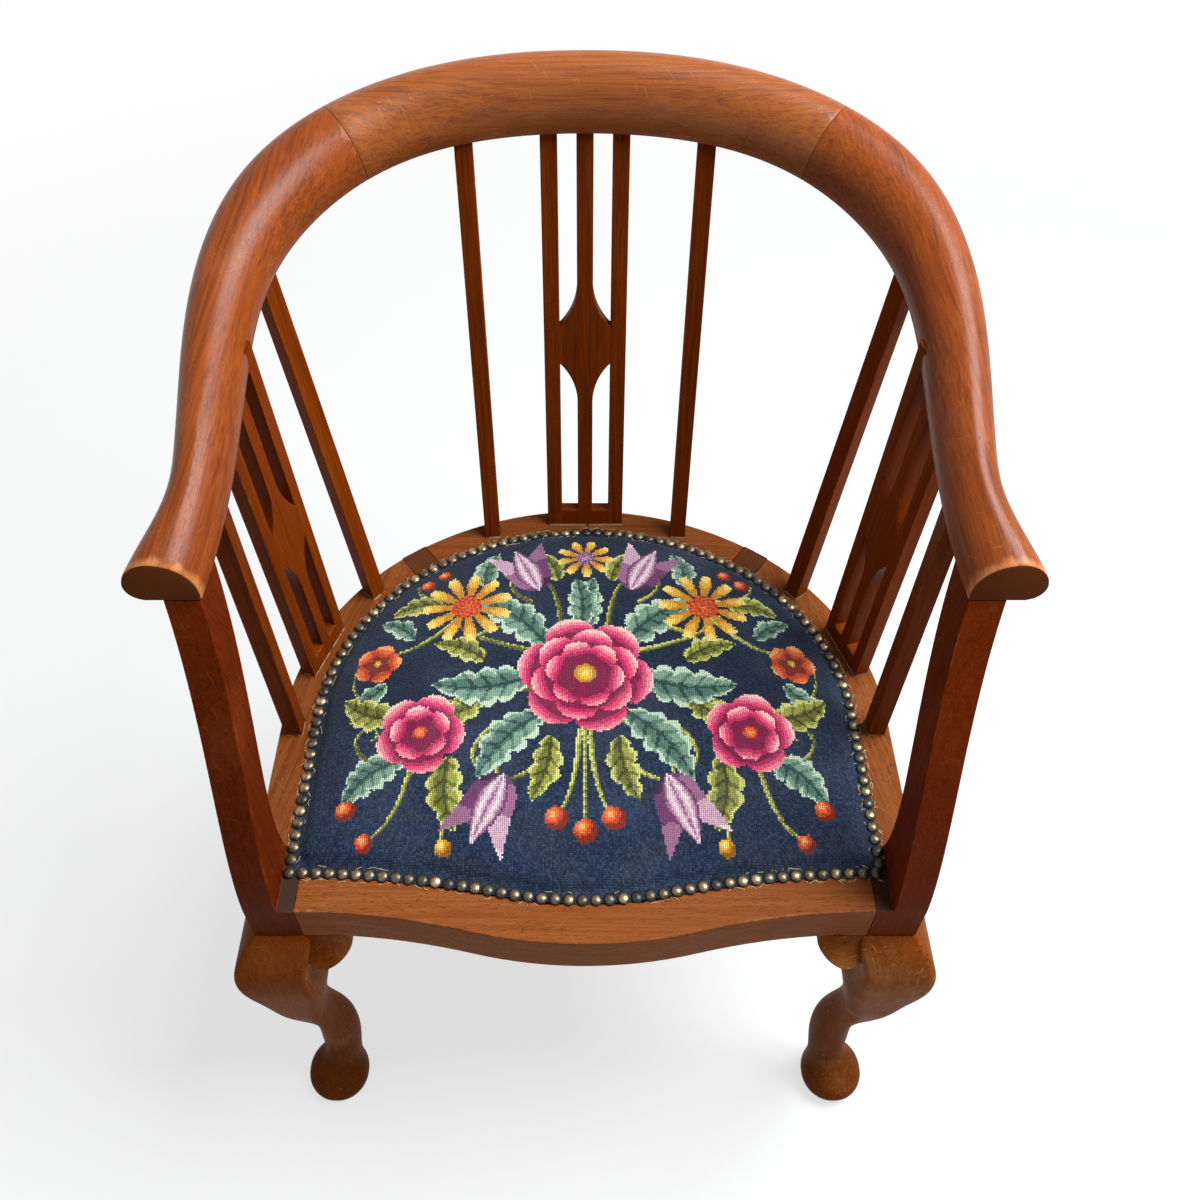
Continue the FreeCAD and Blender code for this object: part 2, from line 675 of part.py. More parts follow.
# The inner face of an arm post ends flush with the inner edge of the arm.
post_top = rail.half_width + size("arm_flare") + size("post_thickness")
seam = math.radians(size("seam_angle"))
for side in (1, -1):
    for lift in (spread, -spread):
        front_depth = size("front_rail_width") * size("front_dowel_share")
        dowel("front_rail_dowels", SHORT, spot(side * foot_inner, front_depth, mid_frame + lift), EAST)
        side_x = side * (half_seat - size("side_dowel_inset"))
        dowel("side_rail_dowels", SHORT, spot(side_x, size("post_foot_depth"), mid_frame + lift), NORTH)
        block = seat.point(seat.turn, size("seat_rail_width") * HALF)
        along = Vector(side * math.cos(seat.turn), -math.sin(seat.turn), 0)
        dowel("rear_leg_dowels", LONG, spot(side * block.x, block.y, mid_frame + lift), along)
    leg_inset = size("post_foot_width") * HALF
    dowel("front_leg_dowels", SHORT, spot(side * (half_seat - leg_inset), leg_inset, seat_floor), UP)
    post_depth = size("arm_setback") + size("post_depth") * HALF
    post_x = post_top - size("post_thickness") * HALF
    post_z = size("rail_back_height") - (size("rail_setback") - post_depth) * math.tan(slope)
    dowel("arm_post_dowels", SHORT, spot(side * post_x, post_depth, post_z), UP)
    for across in SEAM_DOWELS:
        joint = rail.point(seam, -size("corner_width") * across)
        centre = rail_frame.multVec(Vector(side * joint.x, joint.y, size("arm_thickness") * SEAM_DOWEL_RISE))
        tangent = rail_frame.Rotation.multVec(Vector(side * math.cos(seam), -math.sin(seam), 0))
        dowel("crest_rail_dowels", SHORT, centre, tangent)
for group, pieces in dowel_groups.items():
    keep(gathered(f"{group}_group", pieces), group)

# Nails in a close row round the seat, and the holes that they are driven into.
nail_line = seat_outline(nail_inset)
nail_count = int(nail_line.Length / (size("nail_head") + size("nail_gap")))
ball =(nail_radius ** 2 + size("nail_rise") ** 2) / (2 * size("nail_rise"))
brim = math.degrees(math.asin((ball - size("nail_rise")) / ball))
head = Part.makeSphere(ball, Vector(0, 0, size("nail_rise") - ball), UP, brim, 90, 360)
nail = head.fuse(Part.makeCylinder(size("nail_shank") * HALF, size("nail_length"), Vector(), UP * -1))
hole_radius = size("nail_shank") * HALF + size("joint_clearance")
nail_hole = Part.makeCylinder(hole_radius, size("nail_length") + size("joint_clearance"), Vector(), UP * -1)
nails = []
nail_holes = {}
for place in nail_line.discretize(Number=nail_count + 1)[:-1]:
    seated = place + UP * size("cover_thickness")
    nails.append(nail.translated(seated))
    nail_holes[(place.x, place.y)] = nail_hole.translated(seated)
keep(solid("nail_row", Part.makeCompound(nails)), "decorative_nails")


def nail_holes_in(piece):
    """Return the holes of the nails that stand over a piece."""
    doc.recompute()
    bounds = piece.Shape.BoundBox
    holes = [hole for (x, y), hole in nail_holes.items() if bounds.isInside(Vector(x, y, bounds.Center.z))]
    return solid(f"{piece.Name}_nail_holes", Part.makeCompound(holes))


# Top rail, sawn at its two seams and squared off at the arm ends.
whole_rail = solid("rail_blank", rail_form, rail_frame)
front_waste = Placement(spot(-WIDE * HALF, size("arm_setback") - WIDE, 0), Rotation())
arm_waste = solid("arm_waste", Part.makeBox(WIDE, WIDE, WIDE), front_waste)
rail_holes = [arm_waste, back_housing]
for pair in housings.values():
    rail_holes.extend(pair)
rail_holes.extend(dowel_holes["crest_rail_dowels"])
rail_holes.extend(dowel_holes["arm_post_dowels"])
bored_rail = cut("rail_bored", whole_rail, rail_holes)
seam_turn = Rotation(UP, -size("seam_angle"))
seam_frame = rail_frame.multiply(Placement(rail.corner_centre, seam_turn))
half_space = Placement(Vector(0, -WIDE * HALF, -WIDE * HALF), Rotation())
arm_space = solid("arm_space", Part.makeBox(WIDE, WIDE, WIDE), seam_frame.multiply(half_space))
arm_space_left = mirrored("arm_space_left", arm_space)
keep(common("arm_rail_r", bored_rail, arm_space), "arm_rail_right")
keep(common("arm_rail_l", bored_rail, arm_space_left), "arm_rail_left")
keep(cut("crest", bored_rail, [arm_space, arm_space_left]), "crest_rail")


# Arm posts: a foot in the seat frame, and a board that sweeps back and out to the end of the arm.
# Places of the board's sections, and the powers of that share by which it sweeps, flares and thins.
POST_SECTIONS = (0.0, 0.16, 0.34, 0.55, 0.78, 1.0, 1.14)
POST_SWEEP = 1.5
POST_FLARE = 4
POST_TAPER = 6


def post_board():
    """Return the swept board of the right arm post, a little long at the top."""
    end = size("rail_back_height") - (size("rail_setback") - size("arm_setback")) * math.tan(slope)
    rise = end - seat_top
    wires = []
    for share in POST_SECTIONS:
        outer = half_seat + (post_top - half_seat) * share ** POST_FLARE
        inner = outer - size("post_thickness")
        front = size("arm_setback") * share ** POST_SWEEP
        spare = size("post_foot_depth") - size("post_depth")
        back = front + size("post_depth") + spare * max(0.0, 1 - share) ** POST_TAPER
        z = seat_top + rise * share
        corners = [spot(inner, front, z), spot(outer, front, z), spot(outer, back, z), spot(inner, back, z)]
        wires.append(Part.makePolygon([*corners, corners[0]]))
    return Part.makeLoft(wires, True, False)


board = solid("post_board", post_board())
foot_place = Placement(spot(foot_inner, 0, seat_floor), Rotation())
foot_sides = ("Sizes.post_foot_width", "Sizes.post_foot_depth", "Sizes.seat_rail_height")
foot = box("post_foot", *foot_sides, foot_place)
above_rail = Placement(Vector(-WIDE * HALF, -WIDE * HALF, 0), Rotation())
rail_space = solid("rail_space", Part.makeBox(WIDE, WIDE, WIDE), rail_frame.multiply(above_rail))
post_blank = cut("post_trimmed", joined("post_blank", [foot, board]), [rail_space])
post_holes = [nail_holes_in(post_blank)]
for group in ("front_rail_dowels", "side_rail_dowels", "front_leg_dowels", "arm_post_dowels"):
    post_holes.extend(dowel_holes[group])
keep_pair(cut("post_bored", post_blank, post_holes), "arm_post")

# Rear legs: the top is a block of the seat frame, and the leg below curves back to the floor.
bend_drop = "(Sizes.seat_height - Sizes.rear_leg_straight)"
outer_bend = f"({bend_drop} ^ 2 + Sizes.rear_leg_splay ^ 2) / (2 * Sizes.rear_leg_splay)"
frame_floor = "(Sizes.seat_height - Sizes.seat_rail_height)"
inner_run = "(Sizes.rear_leg_splay - Sizes.rear_foot_depth + Sizes.rear_leg_depth)"
inner_bend = f"({frame_floor} ^ 2 + {inner_run} ^ 2) / (2 * {inner_run})"
leg_corners = [
    ("0", "Sizes.seat_height"),
    ("-Sizes.seat_rail_width", "Sizes.seat_height"),
    ("-Sizes.seat_rail_width", frame_floor),
    ("-Sizes.rear_leg_depth", frame_floor),
    ("Sizes.rear_leg_splay - Sizes.rear_foot_depth", "0"),
    ("Sizes.rear_leg_splay", "0"),
    ("0", bend_drop),
]
leg_bends = {3: inner_bend, 5: f"-({outer_bend})"}
leg_board = "Sizes.rear_leg_thickness"
rear_leg = padded("rear_leg_board", "XZ_Plane", leg_corners, leg_board, leg_bends, symmetric=True)
leg_join = seat.point(seat.turn)
leg_turn = Rotation(UP, 90 - math.degrees(seat.turn))
rear_leg.Placement = Placement(spot(leg_join.x, leg_join.y, 0), leg_turn)
rear_leg_hole_tools = [nail_holes_in(rear_leg), *dowel_holes["rear_leg_dowels"]]
keep_pair(cut("rear_leg_bored", rear_leg, rear_leg_hole_tools), "rear_leg")
notch_shift = Vector(-2 * size("seat_rail_width"), -size("rear_leg_thickness") * HALF, seat_floor)
notch_place = rear_leg.Placement.multiply(Placement(notch_shift, Rotation()))
notch = box("leg_notch", "4 * Sizes.seat_rail_width", leg_board, "Sizes.seat_rail_height", notch_place)
notch_left = mirrored("leg_notch_left", notch)


# Seat rails.
def ring_sector(name, radius, centre, start, sweep):
    """Return part of the seat frame's ring, from an angle in degrees counted from +X."""
    place = Placement(spot(centre.x, centre.y, seat_floor), Rotation(UP, start))
    discs = []
    for part, width in (("outer", "0"), ("inner", "Sizes.seat_rail_width")):
        disc = doc.addObject("Part::Cylinder", f"{name}_{part}")
        bind(disc, Radius=f"{radius} - {width}", Height="Sizes.seat_rail_height")
        disc.Angle = sweep
        disc.Placement = place
        discs.append(disc)
    return cut(f"{name}_ring", discs[0], discs[1:])


turn_degrees = size("seat_corner_turn")
back_ring = ring_sector("back", back_bend, seat.back_centre, 90 - turn_degrees, 2 * turn_degrees)
back_tools = [notch, notch_left, back_housing, *housings["back_spindle"], nail_holes_in(back_ring)]
back_tools.extend(dowel_holes["rear_leg_dowels"])
keep(cut("back_rail", back_ring, back_tools), "seat_rail_back")

side_ring = ring_sector("side", corner_bend, seat.corner_centre, 0, 90 - turn_degrees)
side_face = half_seat - size("seat_rail_width")
straight_place = Placement(spot(side_face, size("post_foot_depth"), seat_floor), Rotation())
straight_sides = ("Sizes.seat_rail_width", straight_length, "Sizes.seat_rail_height")
straight = box("side_straight", *straight_sides, straight_place)
side_blank = joined("side_blank", [straight, side_ring])
side_tools = [notch, nail_holes_in(side_blank)]
for name in ("rear_side_spindle", "side_splat", "front_side_spindle"):
    side_tools.append(housings[name][0])
for group in ("rear_leg_dowels", "side_rail_dowels"):
    side_tools.extend(dowel_holes[group])

# Corner blocks behind the front corners, each held by two screws at a share of its length.
SCREW_PLACE = 0.6
block_corners = [
    ("0", "0"),
    ("-Sizes.block_leg", "0"),
    ("0", "Sizes.block_leg"),
]
block = padded("corner_wedge", "XY_Plane", block_corners, "Sizes.block_height")
block_floor = seat_top - size("block_drop") - size("block_height")
block.Placement = Placement(spot(side_face, size("front_rail_width"), block_floor), Rotation())
block_mid = block_floor + size("block_height") * HALF
far_along = size("block_leg") * SCREW_PLACE
screw_spots = (
    (spot(side_face + size("screw_bite"), size("front_rail_width") + far_along, block_mid), EAST),
    (spot(side_face - far_along, size("front_rail_width") - size("screw_bite"), block_mid), NORTH * -1),
)
screws = []
screw_holes = []
for number, (point, way) in enumerate(screw_spots):
    seat_spot = point - way * size("screw_length")
    shank = rod(f"screw_shank_{number}", "Sizes.screw_shank", "Sizes.screw_length", seat_spot, way)
    head_place = seat_spot - way * size("screw_head_height")
    screw_top = rod(f"screw_head_{number}", "Sizes.screw_head", "Sizes.screw_head_height", head_place, way)
    screws.append(joined(f"screw_{number}", [shank, screw_top]))
    wide = f"Sizes.screw_shank + 2 * {CLEARANCE}"
    longer = f"Sizes.screw_length + {CLEARANCE}"
    screw_holes.append(rod(f"screw_hole_{number}", wide, longer, seat_spot, way))
    sunk = seat_spot - way * size("block_leg")
    bore = rod(f"screw_bore_{number}", f"Sizes.screw_head + 2 * {CLEARANCE}", "Sizes.block_leg", sunk, way)
    screw_holes.append(bore)
keep_pair(cut("corner_block_bored", block, screw_holes), "corner_block")
screws.extend([mirrored(f"{screw.Name}_left", screw) for screw in screws])
keep(gathered("screw_group", screws), "corner_block_screws")
side_tools.append(screw_holes[0])
side_rail = cut("side_rail", side_blank, side_tools)
keep_pair(side_rail, "seat_rail")

rail_half = "(Sizes.seat_width / 2 - Sizes.post_foot_width)"
bow_turn = f"(2 * atan(Sizes.front_bow / {rail_half}))"
swell_x = f"(Sizes.front_bow_radius * sin({bow_turn}))"
hollow = f"({rail_half} / sin({bow_turn}) - Sizes.front_bow_radius)"
swell_y = f"(-{hollow} * (1 - cos({bow_turn})))"
front_corners = [
    (f"-{rail_half}", "0"),
    (f"-{swell_x}", swell_y),
    (swell_x, swell_y),
    (rail_half, "0"),
    (rail_half, "Sizes.front_rail_width"),
    (f"-{rail_half}", "Sizes.front_rail_width"),
]
front_bends = {0: f"-{hollow}", 1: "Sizes.front_bow_radius", 2: f"-{hollow}"}
front_board = padded("front_board", "XY_Plane", front_corners, "Sizes.seat_rail_height", front_bends)
front_board.Placement = Placement(spot(0, 0, seat_floor), Rotation())
front_tools = [nail_holes_in(front_board), *dowel_holes["front_rail_dowels"]]
front_tools.extend([screw_holes[2], mirrored("front_screw_left", screw_holes[2])])
keep(cut("front_rail", front_board, front_tools), "seat_rail_front")


# Front legs: rounded squares from the frame's corner, over the knee, to the round ankle and pad foot.
def rounded_square(centre, side, roundness):
    """Return a square with rounded corners, nearly a circle as the roundness nears one."""
    half = side * HALF
    radius = half * roundness
    straight = half - radius
    crown = straight + radius * math.sqrt(HALF)
    edges = []
    for turn in range(4):
        spin = Rotation(UP, 90 * turn)
        at = [
            centre + spin.multVec(Vector(x, y, 0))
            for x, y in ((half, -straight), (half, straight), (crown, crown), (straight, half))
        ]
        edges.append(Part.LineSegment(at[0], at[1]))
        edges.append(Part.Arc(at[1], at[2], at[3]))
    return Part.Wire([edge.toShape() for edge in edges])


# Roundness of the leg's sections, from its top down to the shin, and of all below.
LEG_ROUNDNESS = (0.12, 0.22, 0.3, 0.45, 0.7, 0.92)
FOOT_ROUNDNESS = 0.96


def front_leg():
    """Return the right front leg."""
    inside = size("post_foot_width")
    calf = seat_floor - size("calf_drop")
    shin = size("ankle_height") + (calf - size("ankle_height")) * size("shin_share")
    stations = [(seat_floor, 0.0, inside)]
    for part in ("shoulder", "knee", "thigh"):
        reach = size(f"{part}_reach")
        stations.append((seat_floor - size(f"{part}_drop"), reach, inside + reach))
    stations.append((calf, size("calf_reach"), size("calf_size")))
    stations.append((shin, -size("shin_set_in"), size("shin_size")))
    stations.append((size("ankle_height"), -size("ankle_set_in"), size("ankle_size")))
    stations.append((size("instep_height"), size("instep_reach"), size("instep_size")))
    stations.append((size("pad_height"), size("pad_reach"), size("pad_size")))
    stations.append((size("pad_rim"), size("pad_reach"), size("pad_size")))
    sole_reach = size("pad_reach") - (size("pad_size") - size("sole_size")) * HALF
    stations.append((0.0, sole_reach, size("sole_size")))
    wires = []
    for number, (height, reach, thickness) in enumerate(stations):
        roundness = LEG_ROUNDNESS[number] if number < len(LEG_ROUNDNESS) else FOOT_ROUNDNESS
        offset = thickness * HALF - reach
        wires.append(rounded_square(spot(half_seat - offset, offset, height), thickness, roundness))
    return Part.makeLoft(wires, True, False)


front_leg_form = solid("front_leg_form", front_leg())
keep_pair(cut("front_leg_bored", front_leg_form, dowel_holes["front_leg_dowels"]), "front_leg")

# Knee brackets: the profile of the knee carried along the rail, with a curved lower edge.
ear_x = foot_inner - size("glue_gap")
ear_low = "-Sizes.ear_root_height"
swell_bend = "(Sizes.shoulder_drop ^ 2 + Sizes.shoulder_reach ^ 2) / (2 * Sizes.shoulder_reach)"
ear_corners = [
    ("0", "0"),
    ("-Sizes.shoulder_reach", "-Sizes.shoulder_drop"),
    ("-Sizes.knee_reach", "-Sizes.knee_drop"),
    ("Sizes.ear_thickness", "-Sizes.knee_drop"),
    ("Sizes.ear_thickness", "0"),
]
ear = padded("ear_profile", "YZ_Plane", ear_corners, "Sizes.ear_length", {0: f"-({swell_bend})"})
ear_fall = "(Sizes.ear_root_height - Sizes.ear_tip_height)"
ear_bend = f"(Sizes.ear_length ^ 2 + {ear_fall} ^ 2) / (2 * Sizes.ear_length)"
waste_low = f"{ear_low} - Sizes.knee_drop"
waste_corners = [
    ("0", "-Sizes.ear_tip_height"),
    ("Sizes.ear_length", ear_low),
    ("Sizes.ear_length", waste_low),
    ("-Sizes.ear_thickness", waste_low),
    ("-Sizes.ear_thickness", "-Sizes.ear_tip_height"),
]
ear = pocketed(ear, "XZ_Plane", [(waste_corners, {0: f"Sizes.ear_fullness * {ear_bend}"})])
ear.Placement = Placement(spot(ear_x - size("ear_length"), 0, seat_floor), Rotation())
keep_pair(ear, "front_ear")
side_ear = mirrored("side_ear_r", ear, Vector(1, 1, 0), spot(half_seat, 0, 0))
keep_pair(side_ear, "side_ear")

# Seat: webbing both ways, base cloth, crowned stuffing, undercover and the nailed needlepoint cover.
strap = size("webbing_thickness")
webbing_inset = pad_inset + size("webbing_margin")
strap_middle = (seat.back - size("front_bow")) * HALF
for way, lift in (("lengthwise", 0.0), ("crosswise", strap)):
    straps = []
    for number in range(STRAP_COUNT):
        offset = (number - (STRAP_COUNT - 1) * HALF) * size("webbing_pitch") - size("webbing_width") * HALF
        if way == "lengthwise":
            corner = spot(offset, 0, seat_top + lift)
            sides = ("Sizes.webbing_width", "Sizes.seat_depth")
        else:
            corner = spot(-half_seat, strap_middle + offset, seat_top + lift)
            sides = ("Sizes.seat_width", "Sizes.webbing_width")
        straps.append(
            box(f"strap_{way}_{number}", *sides, "Sizes.webbing_thickness", Placement(corner, Rotation()))
        )
    field = solid(f"strap_field_{way}", seat_plate(webbing_inset, strap, lift))
    keep(common(f"straps_{way}", gathered(f"strap_rows_{way}", straps), field), f"webbing_{way}")

hessian_lift = 2 * strap
stuffing_lift = hessian_lift + size("hessian_thickness")
hessian_plate = seat_plate(webbing_inset, size("hessian_thickness"), hessian_lift)
keep(solid("hessian", hessian_plate), "hessian_base")
under_space = solid("under_stuffing", seat_plate(0.0, stuffing_lift))
keep(cut("stuffing", solid("stuffing_form", seat_dome(0.0)), [under_space]), "seat_stuffing")
calico_core = solid("calico_core", seat_dome(gap))
keep(cut("calico", solid("calico_form", seat_dome(calico_out)), [calico_core]), "calico_cover")
cover_core = solid("cover_core", seat_dome(calico_out + gap))
cover_edge = solid("cover_edge", seat_plate(nail_inset - size("cover_margin"), size("cover_thickness")))
cover_form = joined("cover_form", [solid("cover_dome", seat_dome(cover_out)), cover_edge])
keep(cut("cover", cover_form, [cover_core, nail_holes_in(cover_form)]), "needlepoint_cover")

doc.recompute()
failed = [item.Label for item in doc.Objects if {"Invalid", "Error"} & set(item.State)]
if failed:
    raise RuntimeError(f"failed features: {failed}")
os.makedirs("parts", exist_ok=True)
unsound = [
    node.Label for node in nodes if node.Shape.isNull() or not node.Shape.isValid() or not node.Shape.Solids
]
if unsound:
    raise RuntimeError(f"no sound solid in: {unsound}")
for node in nodes:
    node.Shape.exportStep(f"parts/{node.Label}.step")
    bounds = node.Shape.BoundBox
    print(f"{node.Label}: {len(node.Shape.Solids)} solids, {node.Shape.Volume:.0f} mm3, "
          f"x {bounds.XMin:.1f} to {bounds.XMax:.1f}, y {bounds.YMin:.1f} to {bounds.YMax:.1f}, "
          f"z {bounds.ZMin:.1f} to {bounds.ZMax:.1f}")
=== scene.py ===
"""An old tub armchair in polished mahogany with a close-nailed needlepoint seat.

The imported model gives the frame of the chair. The show wood is finished from it, with softened arrises and
grain that follows each piece. The seat, its nails and the webbing under it are modelled here. Lengths are in
metres.
"""

import json
import logging
import math
import random
from collections.abc import Callable, Iterator
from contextlib import contextmanager
from dataclasses import dataclass, field, replace
from enum import Enum

import bmesh
import bpy
import numpy as np
from mathutils import Matrix, Vector
from mathutils.bvhtree import BVHTree

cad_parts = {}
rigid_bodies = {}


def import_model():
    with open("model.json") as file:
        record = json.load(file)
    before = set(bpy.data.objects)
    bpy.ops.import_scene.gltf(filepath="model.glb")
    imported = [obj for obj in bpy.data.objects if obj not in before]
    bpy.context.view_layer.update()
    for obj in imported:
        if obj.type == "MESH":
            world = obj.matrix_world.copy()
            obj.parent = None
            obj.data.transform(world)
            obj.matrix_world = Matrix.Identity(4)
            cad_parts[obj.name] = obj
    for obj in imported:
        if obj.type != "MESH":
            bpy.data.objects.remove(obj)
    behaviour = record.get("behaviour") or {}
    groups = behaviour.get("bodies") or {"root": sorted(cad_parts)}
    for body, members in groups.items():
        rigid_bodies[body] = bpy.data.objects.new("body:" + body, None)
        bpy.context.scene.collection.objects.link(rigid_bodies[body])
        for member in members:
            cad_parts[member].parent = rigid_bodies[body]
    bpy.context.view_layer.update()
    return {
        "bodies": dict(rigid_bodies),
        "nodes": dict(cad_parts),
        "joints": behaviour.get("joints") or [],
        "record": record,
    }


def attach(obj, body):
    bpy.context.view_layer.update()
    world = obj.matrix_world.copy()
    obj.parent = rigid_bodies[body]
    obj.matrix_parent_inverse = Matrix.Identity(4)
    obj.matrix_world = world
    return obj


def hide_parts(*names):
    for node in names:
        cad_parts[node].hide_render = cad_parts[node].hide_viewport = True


LOG = logging.getLogger("tub_armchair")
Colour = tuple[float, float, float]
Place = tuple[float, float, float]
Point = tuple[float, float]
Cell = tuple[int, int]
Box = tuple[Vector, Vector]
Chooser = Callable[[np.ndarray], np.ndarray]

# The seat frame lies between these two heights.
SEAT_TOP = 0.422
SEAT_FLOOR = 0.378

# The arms are sawn off at the first place, and what lies before the second belongs to their ends.
ARM_END = -0.1546
ARM_END_ZONE = -0.145

# The side of one stitch of the needlepoint.
STITCH = 0.0016

WHITE = (1.0, 1.0, 1.0)


class Grain(Enum):
    """Which way the grain of a piece runs."""

    LENGTH = "length"
    ACROSS = "across"
    UPRIGHT = "upright"


class Fray(Enum):
    """How much loose thread shows along a part of the nail line."""

    LITTLE = 0.3
    SOME = 0.65
    MUCH = 0.85


class Run(Enum):
    """Which way a strap of webbing runs, by the axis that it follows."""

    CROSSWISE = 0
    LENGTHWISE = 1


def linear(red: float, green: float, blue: float) -> Colour:
    """Return a colour given as 0 to 255 in linear light."""
    return tuple(
        (c / 255 / 12.92) if c < 10.3 else ((c / 255 + 0.055) / 1.055) ** 2.4 for c in (red, green, blue)
    )


def dimmed(colour: Colour, share: float) -> Colour:
    """Return a colour with each channel cut to a share of its light."""
    return tuple(c * share for c in colour)


class Sock:
    """One output of a shader node, with arithmetic that adds Math nodes."""

    def __init__(self, graph: "Graph", socket: bpy.types.NodeSocket) -> None:
        """Hold one output of a node in a graph."""
        self.graph = graph
        self.socket = socket

    def __add__(self, other: "Sock | float") -> "Sock":
        """Return the sum of this and another value."""
        return self.graph.math("ADD", self, other)

    def __radd__(self, other: float) -> "Sock":
        """Return the sum of a number and this."""
        return self.graph.math("ADD", other, self)

    def __sub__(self, other: "Sock | float") -> "Sock":
        """Return this less another value."""
        return self.graph.math("SUBTRACT", self, other)

    def __rsub__(self, other: float) -> "Sock":
        """Return a number less this."""
        return self.graph.math("SUBTRACT", other, self)

    def __mul__(self, other: "Sock | float") -> "Sock":
        """Return this times another value."""
        return self.graph.math("MULTIPLY", self, other)

    def __rmul__(self, other: float) -> "Sock":
        """Return a number times this."""
        return self.graph.math("MULTIPLY", other, self)

    def __truediv__(self, other: "Sock | float") -> "Sock":
        """Return this divided by another value."""
        return self.graph.math("DIVIDE", self, other)

    def __rtruediv__(self, other: float) -> "Sock":
        """Return a number divided by this."""
        return self.graph.math("DIVIDE", other, self)

    def ramp(self, low: float, high: float) -> "Sock":
        """Return this value run smoothly from 0 at low to 1 at high."""
        sockets = {"Value": self, "From Min": low, "From Max": high}
        return self.graph.node("ShaderNodeMapRange", {"interpolation_type": "SMOOTHSTEP"}, sockets)


class Graph:
    """The node tree of a material or of the world, built through short calls."""

    def __init__(self, owner: bpy.types.Material | bpy.types.World) -> None:
        """Start an empty tree.

        Args:
            owner: The material or the world that the tree belongs to.
        """
        self.owner = owner
        owner.use_nodes = True
        self.tree = owner.node_tree
        self.tree.nodes.clear()

    def feed(self, target: bpy.types.NodeSocket, value: object) -> None:
        """Join a value or another node's output to an input.

        Args:
            target: The input.
            value: An output, a number, a vector or a colour.
        """
        if isinstance(value, Sock):
            self.tree.links.new(value.socket, target)
        elif target.type == "RGBA" and len(value) == 3:
            target.default_value = (*value, 1.0)
        else:
            target.default_value = value

    def add(self, kind: str, settings: dict | None = None, sockets: dict | None = None) -> bpy.types.Node:
        """Add a node of any type.

        Args:
            kind: The node's type.
            settings: Its properties, set before its inputs.
            sockets: Its inputs by name or number.

        Returns:
            The node.
        """
        made = self.tree.nodes.new(kind)
        for key, value in (settings or {}).items():
            setattr(made, key, value)
        for key, value in (sockets or {}).items():
            self.feed(made.inputs[key], value)
        return made

    def node(
        self, kind: str, settings: dict | None = None, sockets: dict | None = None, out: str | int = 0
    ) -> Sock:
        """Return one output of a new node, by its name or number."""
        return Sock(self, self.add(kind, settings, sockets).outputs[out])

    def math(self, operation: str, *values: "Sock | float") -> Sock:
        """Return a Math node's result."""
        return self.node("ShaderNodeMath", {"operation": operation}, dict(enumerate(values)))

    def vector(self, operation: str, *values: object) -> Sock:
        """Return a Vector Math node's vector."""
        return self.node("ShaderNodeVectorMath", {"operation": operation}, dict(enumerate(values)))

    def mix(self, factor: "Sock | float", first: object, second: object, blend: str = "MIX") -> Sock:
        """Return two colours mixed by a factor."""
        settings = {"data_type": "RGBA", "blend_type": blend}
        return self.node("ShaderNodeMix", settings, {0: factor, 6: first, 7: second}, out=2)

    def noise(self, place: Sock, scale: Place | float, detail: float = 3.0, roughness: float = 0.55) -> Sock:
        """Return noise over a place.

        Args:
            place: Where the noise is read.
            scale: How fine it is, evenly or by axis.
            detail: How many finer layers it has.
            roughness: How strong the finer layers are.

        Returns:
            The noise, from 0 to 1.
        """
        by_axis = scale if isinstance(scale, tuple) else (scale,) * 3
        stretched = self.vector("MULTIPLY", place, by_axis)
        sockets = {"Vector": stretched, "Scale": 1.0, "Detail": detail, "Roughness": roughness}
        return self.node("ShaderNodeTexNoise", None, sockets)

    def attribute(self, name: str, out: str = "Fac") -> Sock:
        """Return an attribute of the mesh."""
        return self.node("ShaderNodeAttribute", {"attribute_name": name}, out=out)

    def place(self) -> Sock:
        """Return the object coordinates."""
        return self.node("ShaderNodeTexCoord", out="Object")

    def axis(self, vector: Sock, name: str) -> Sock:
        """Return one axis of a vector."""
        return self.node("ShaderNodeSeparateXYZ", None, {0: vector}, out=name)

    def ray(self, kind: str) -> Sock:
        """Return 1 for rays of one kind and 0 for others."""
        return self.node("ShaderNodeLightPath", out=f"Is {kind} Ray")

    def seen(self) -> Sock:
        """Return 1 for what the camera sees, also in a mirror or through glass, and 0 for other light."""
        mirrored = self.math("MAXIMUM", self.ray("Camera"), self.ray("Glossy"))
        return self.math("MAXIMUM", mirrored, self.ray("Transmission"))

    def surface(
        self, sockets: dict, bump: Sock, strength: float = 0.3, depth: float = 0.001
    ) -> bpy.types.Material:
        """Close a material with a principled surface.

        Args:
            sockets: The surface's inputs by name.
            bump: Height that the surface's normal follows.
            strength: How strongly it follows.
            depth: The height that a bump of 1 stands for.

        Returns:
            The finished material.
        """
        relief = {"Strength": strength, "Distance": depth, "Height": bump}
        normal = self.node("ShaderNodeBump", None, relief)
        return self.close(self.node("ShaderNodeBsdfPrincipled", None, {**sockets, "Normal": normal}))

    def close(self, shader: Sock) -> bpy.types.Material | bpy.types.World:
        """Join a shader to the tree's output.

        Args:
            shader: What the surface or the world shows.

        Returns:
            The finished material or world.
        """
        kind = "World" if isinstance(self.owner, bpy.types.World) else "Material"
        self.add(f"ShaderNodeOutput{kind}", None, {"Surface": shader})
        return self.owner


class Finish:
    """A finish that can be made into a material."""

    def material(self, name: str) -> bpy.types.Material:
        """Return the finish as a new material."""
        return self.dress(Graph(bpy.data.materials.new(name)))

    def dress(self, g: Graph) -> bpy.types.Material:
        """Fill an empty tree and return its material; each finish has its own way."""
        raise NotImplementedError


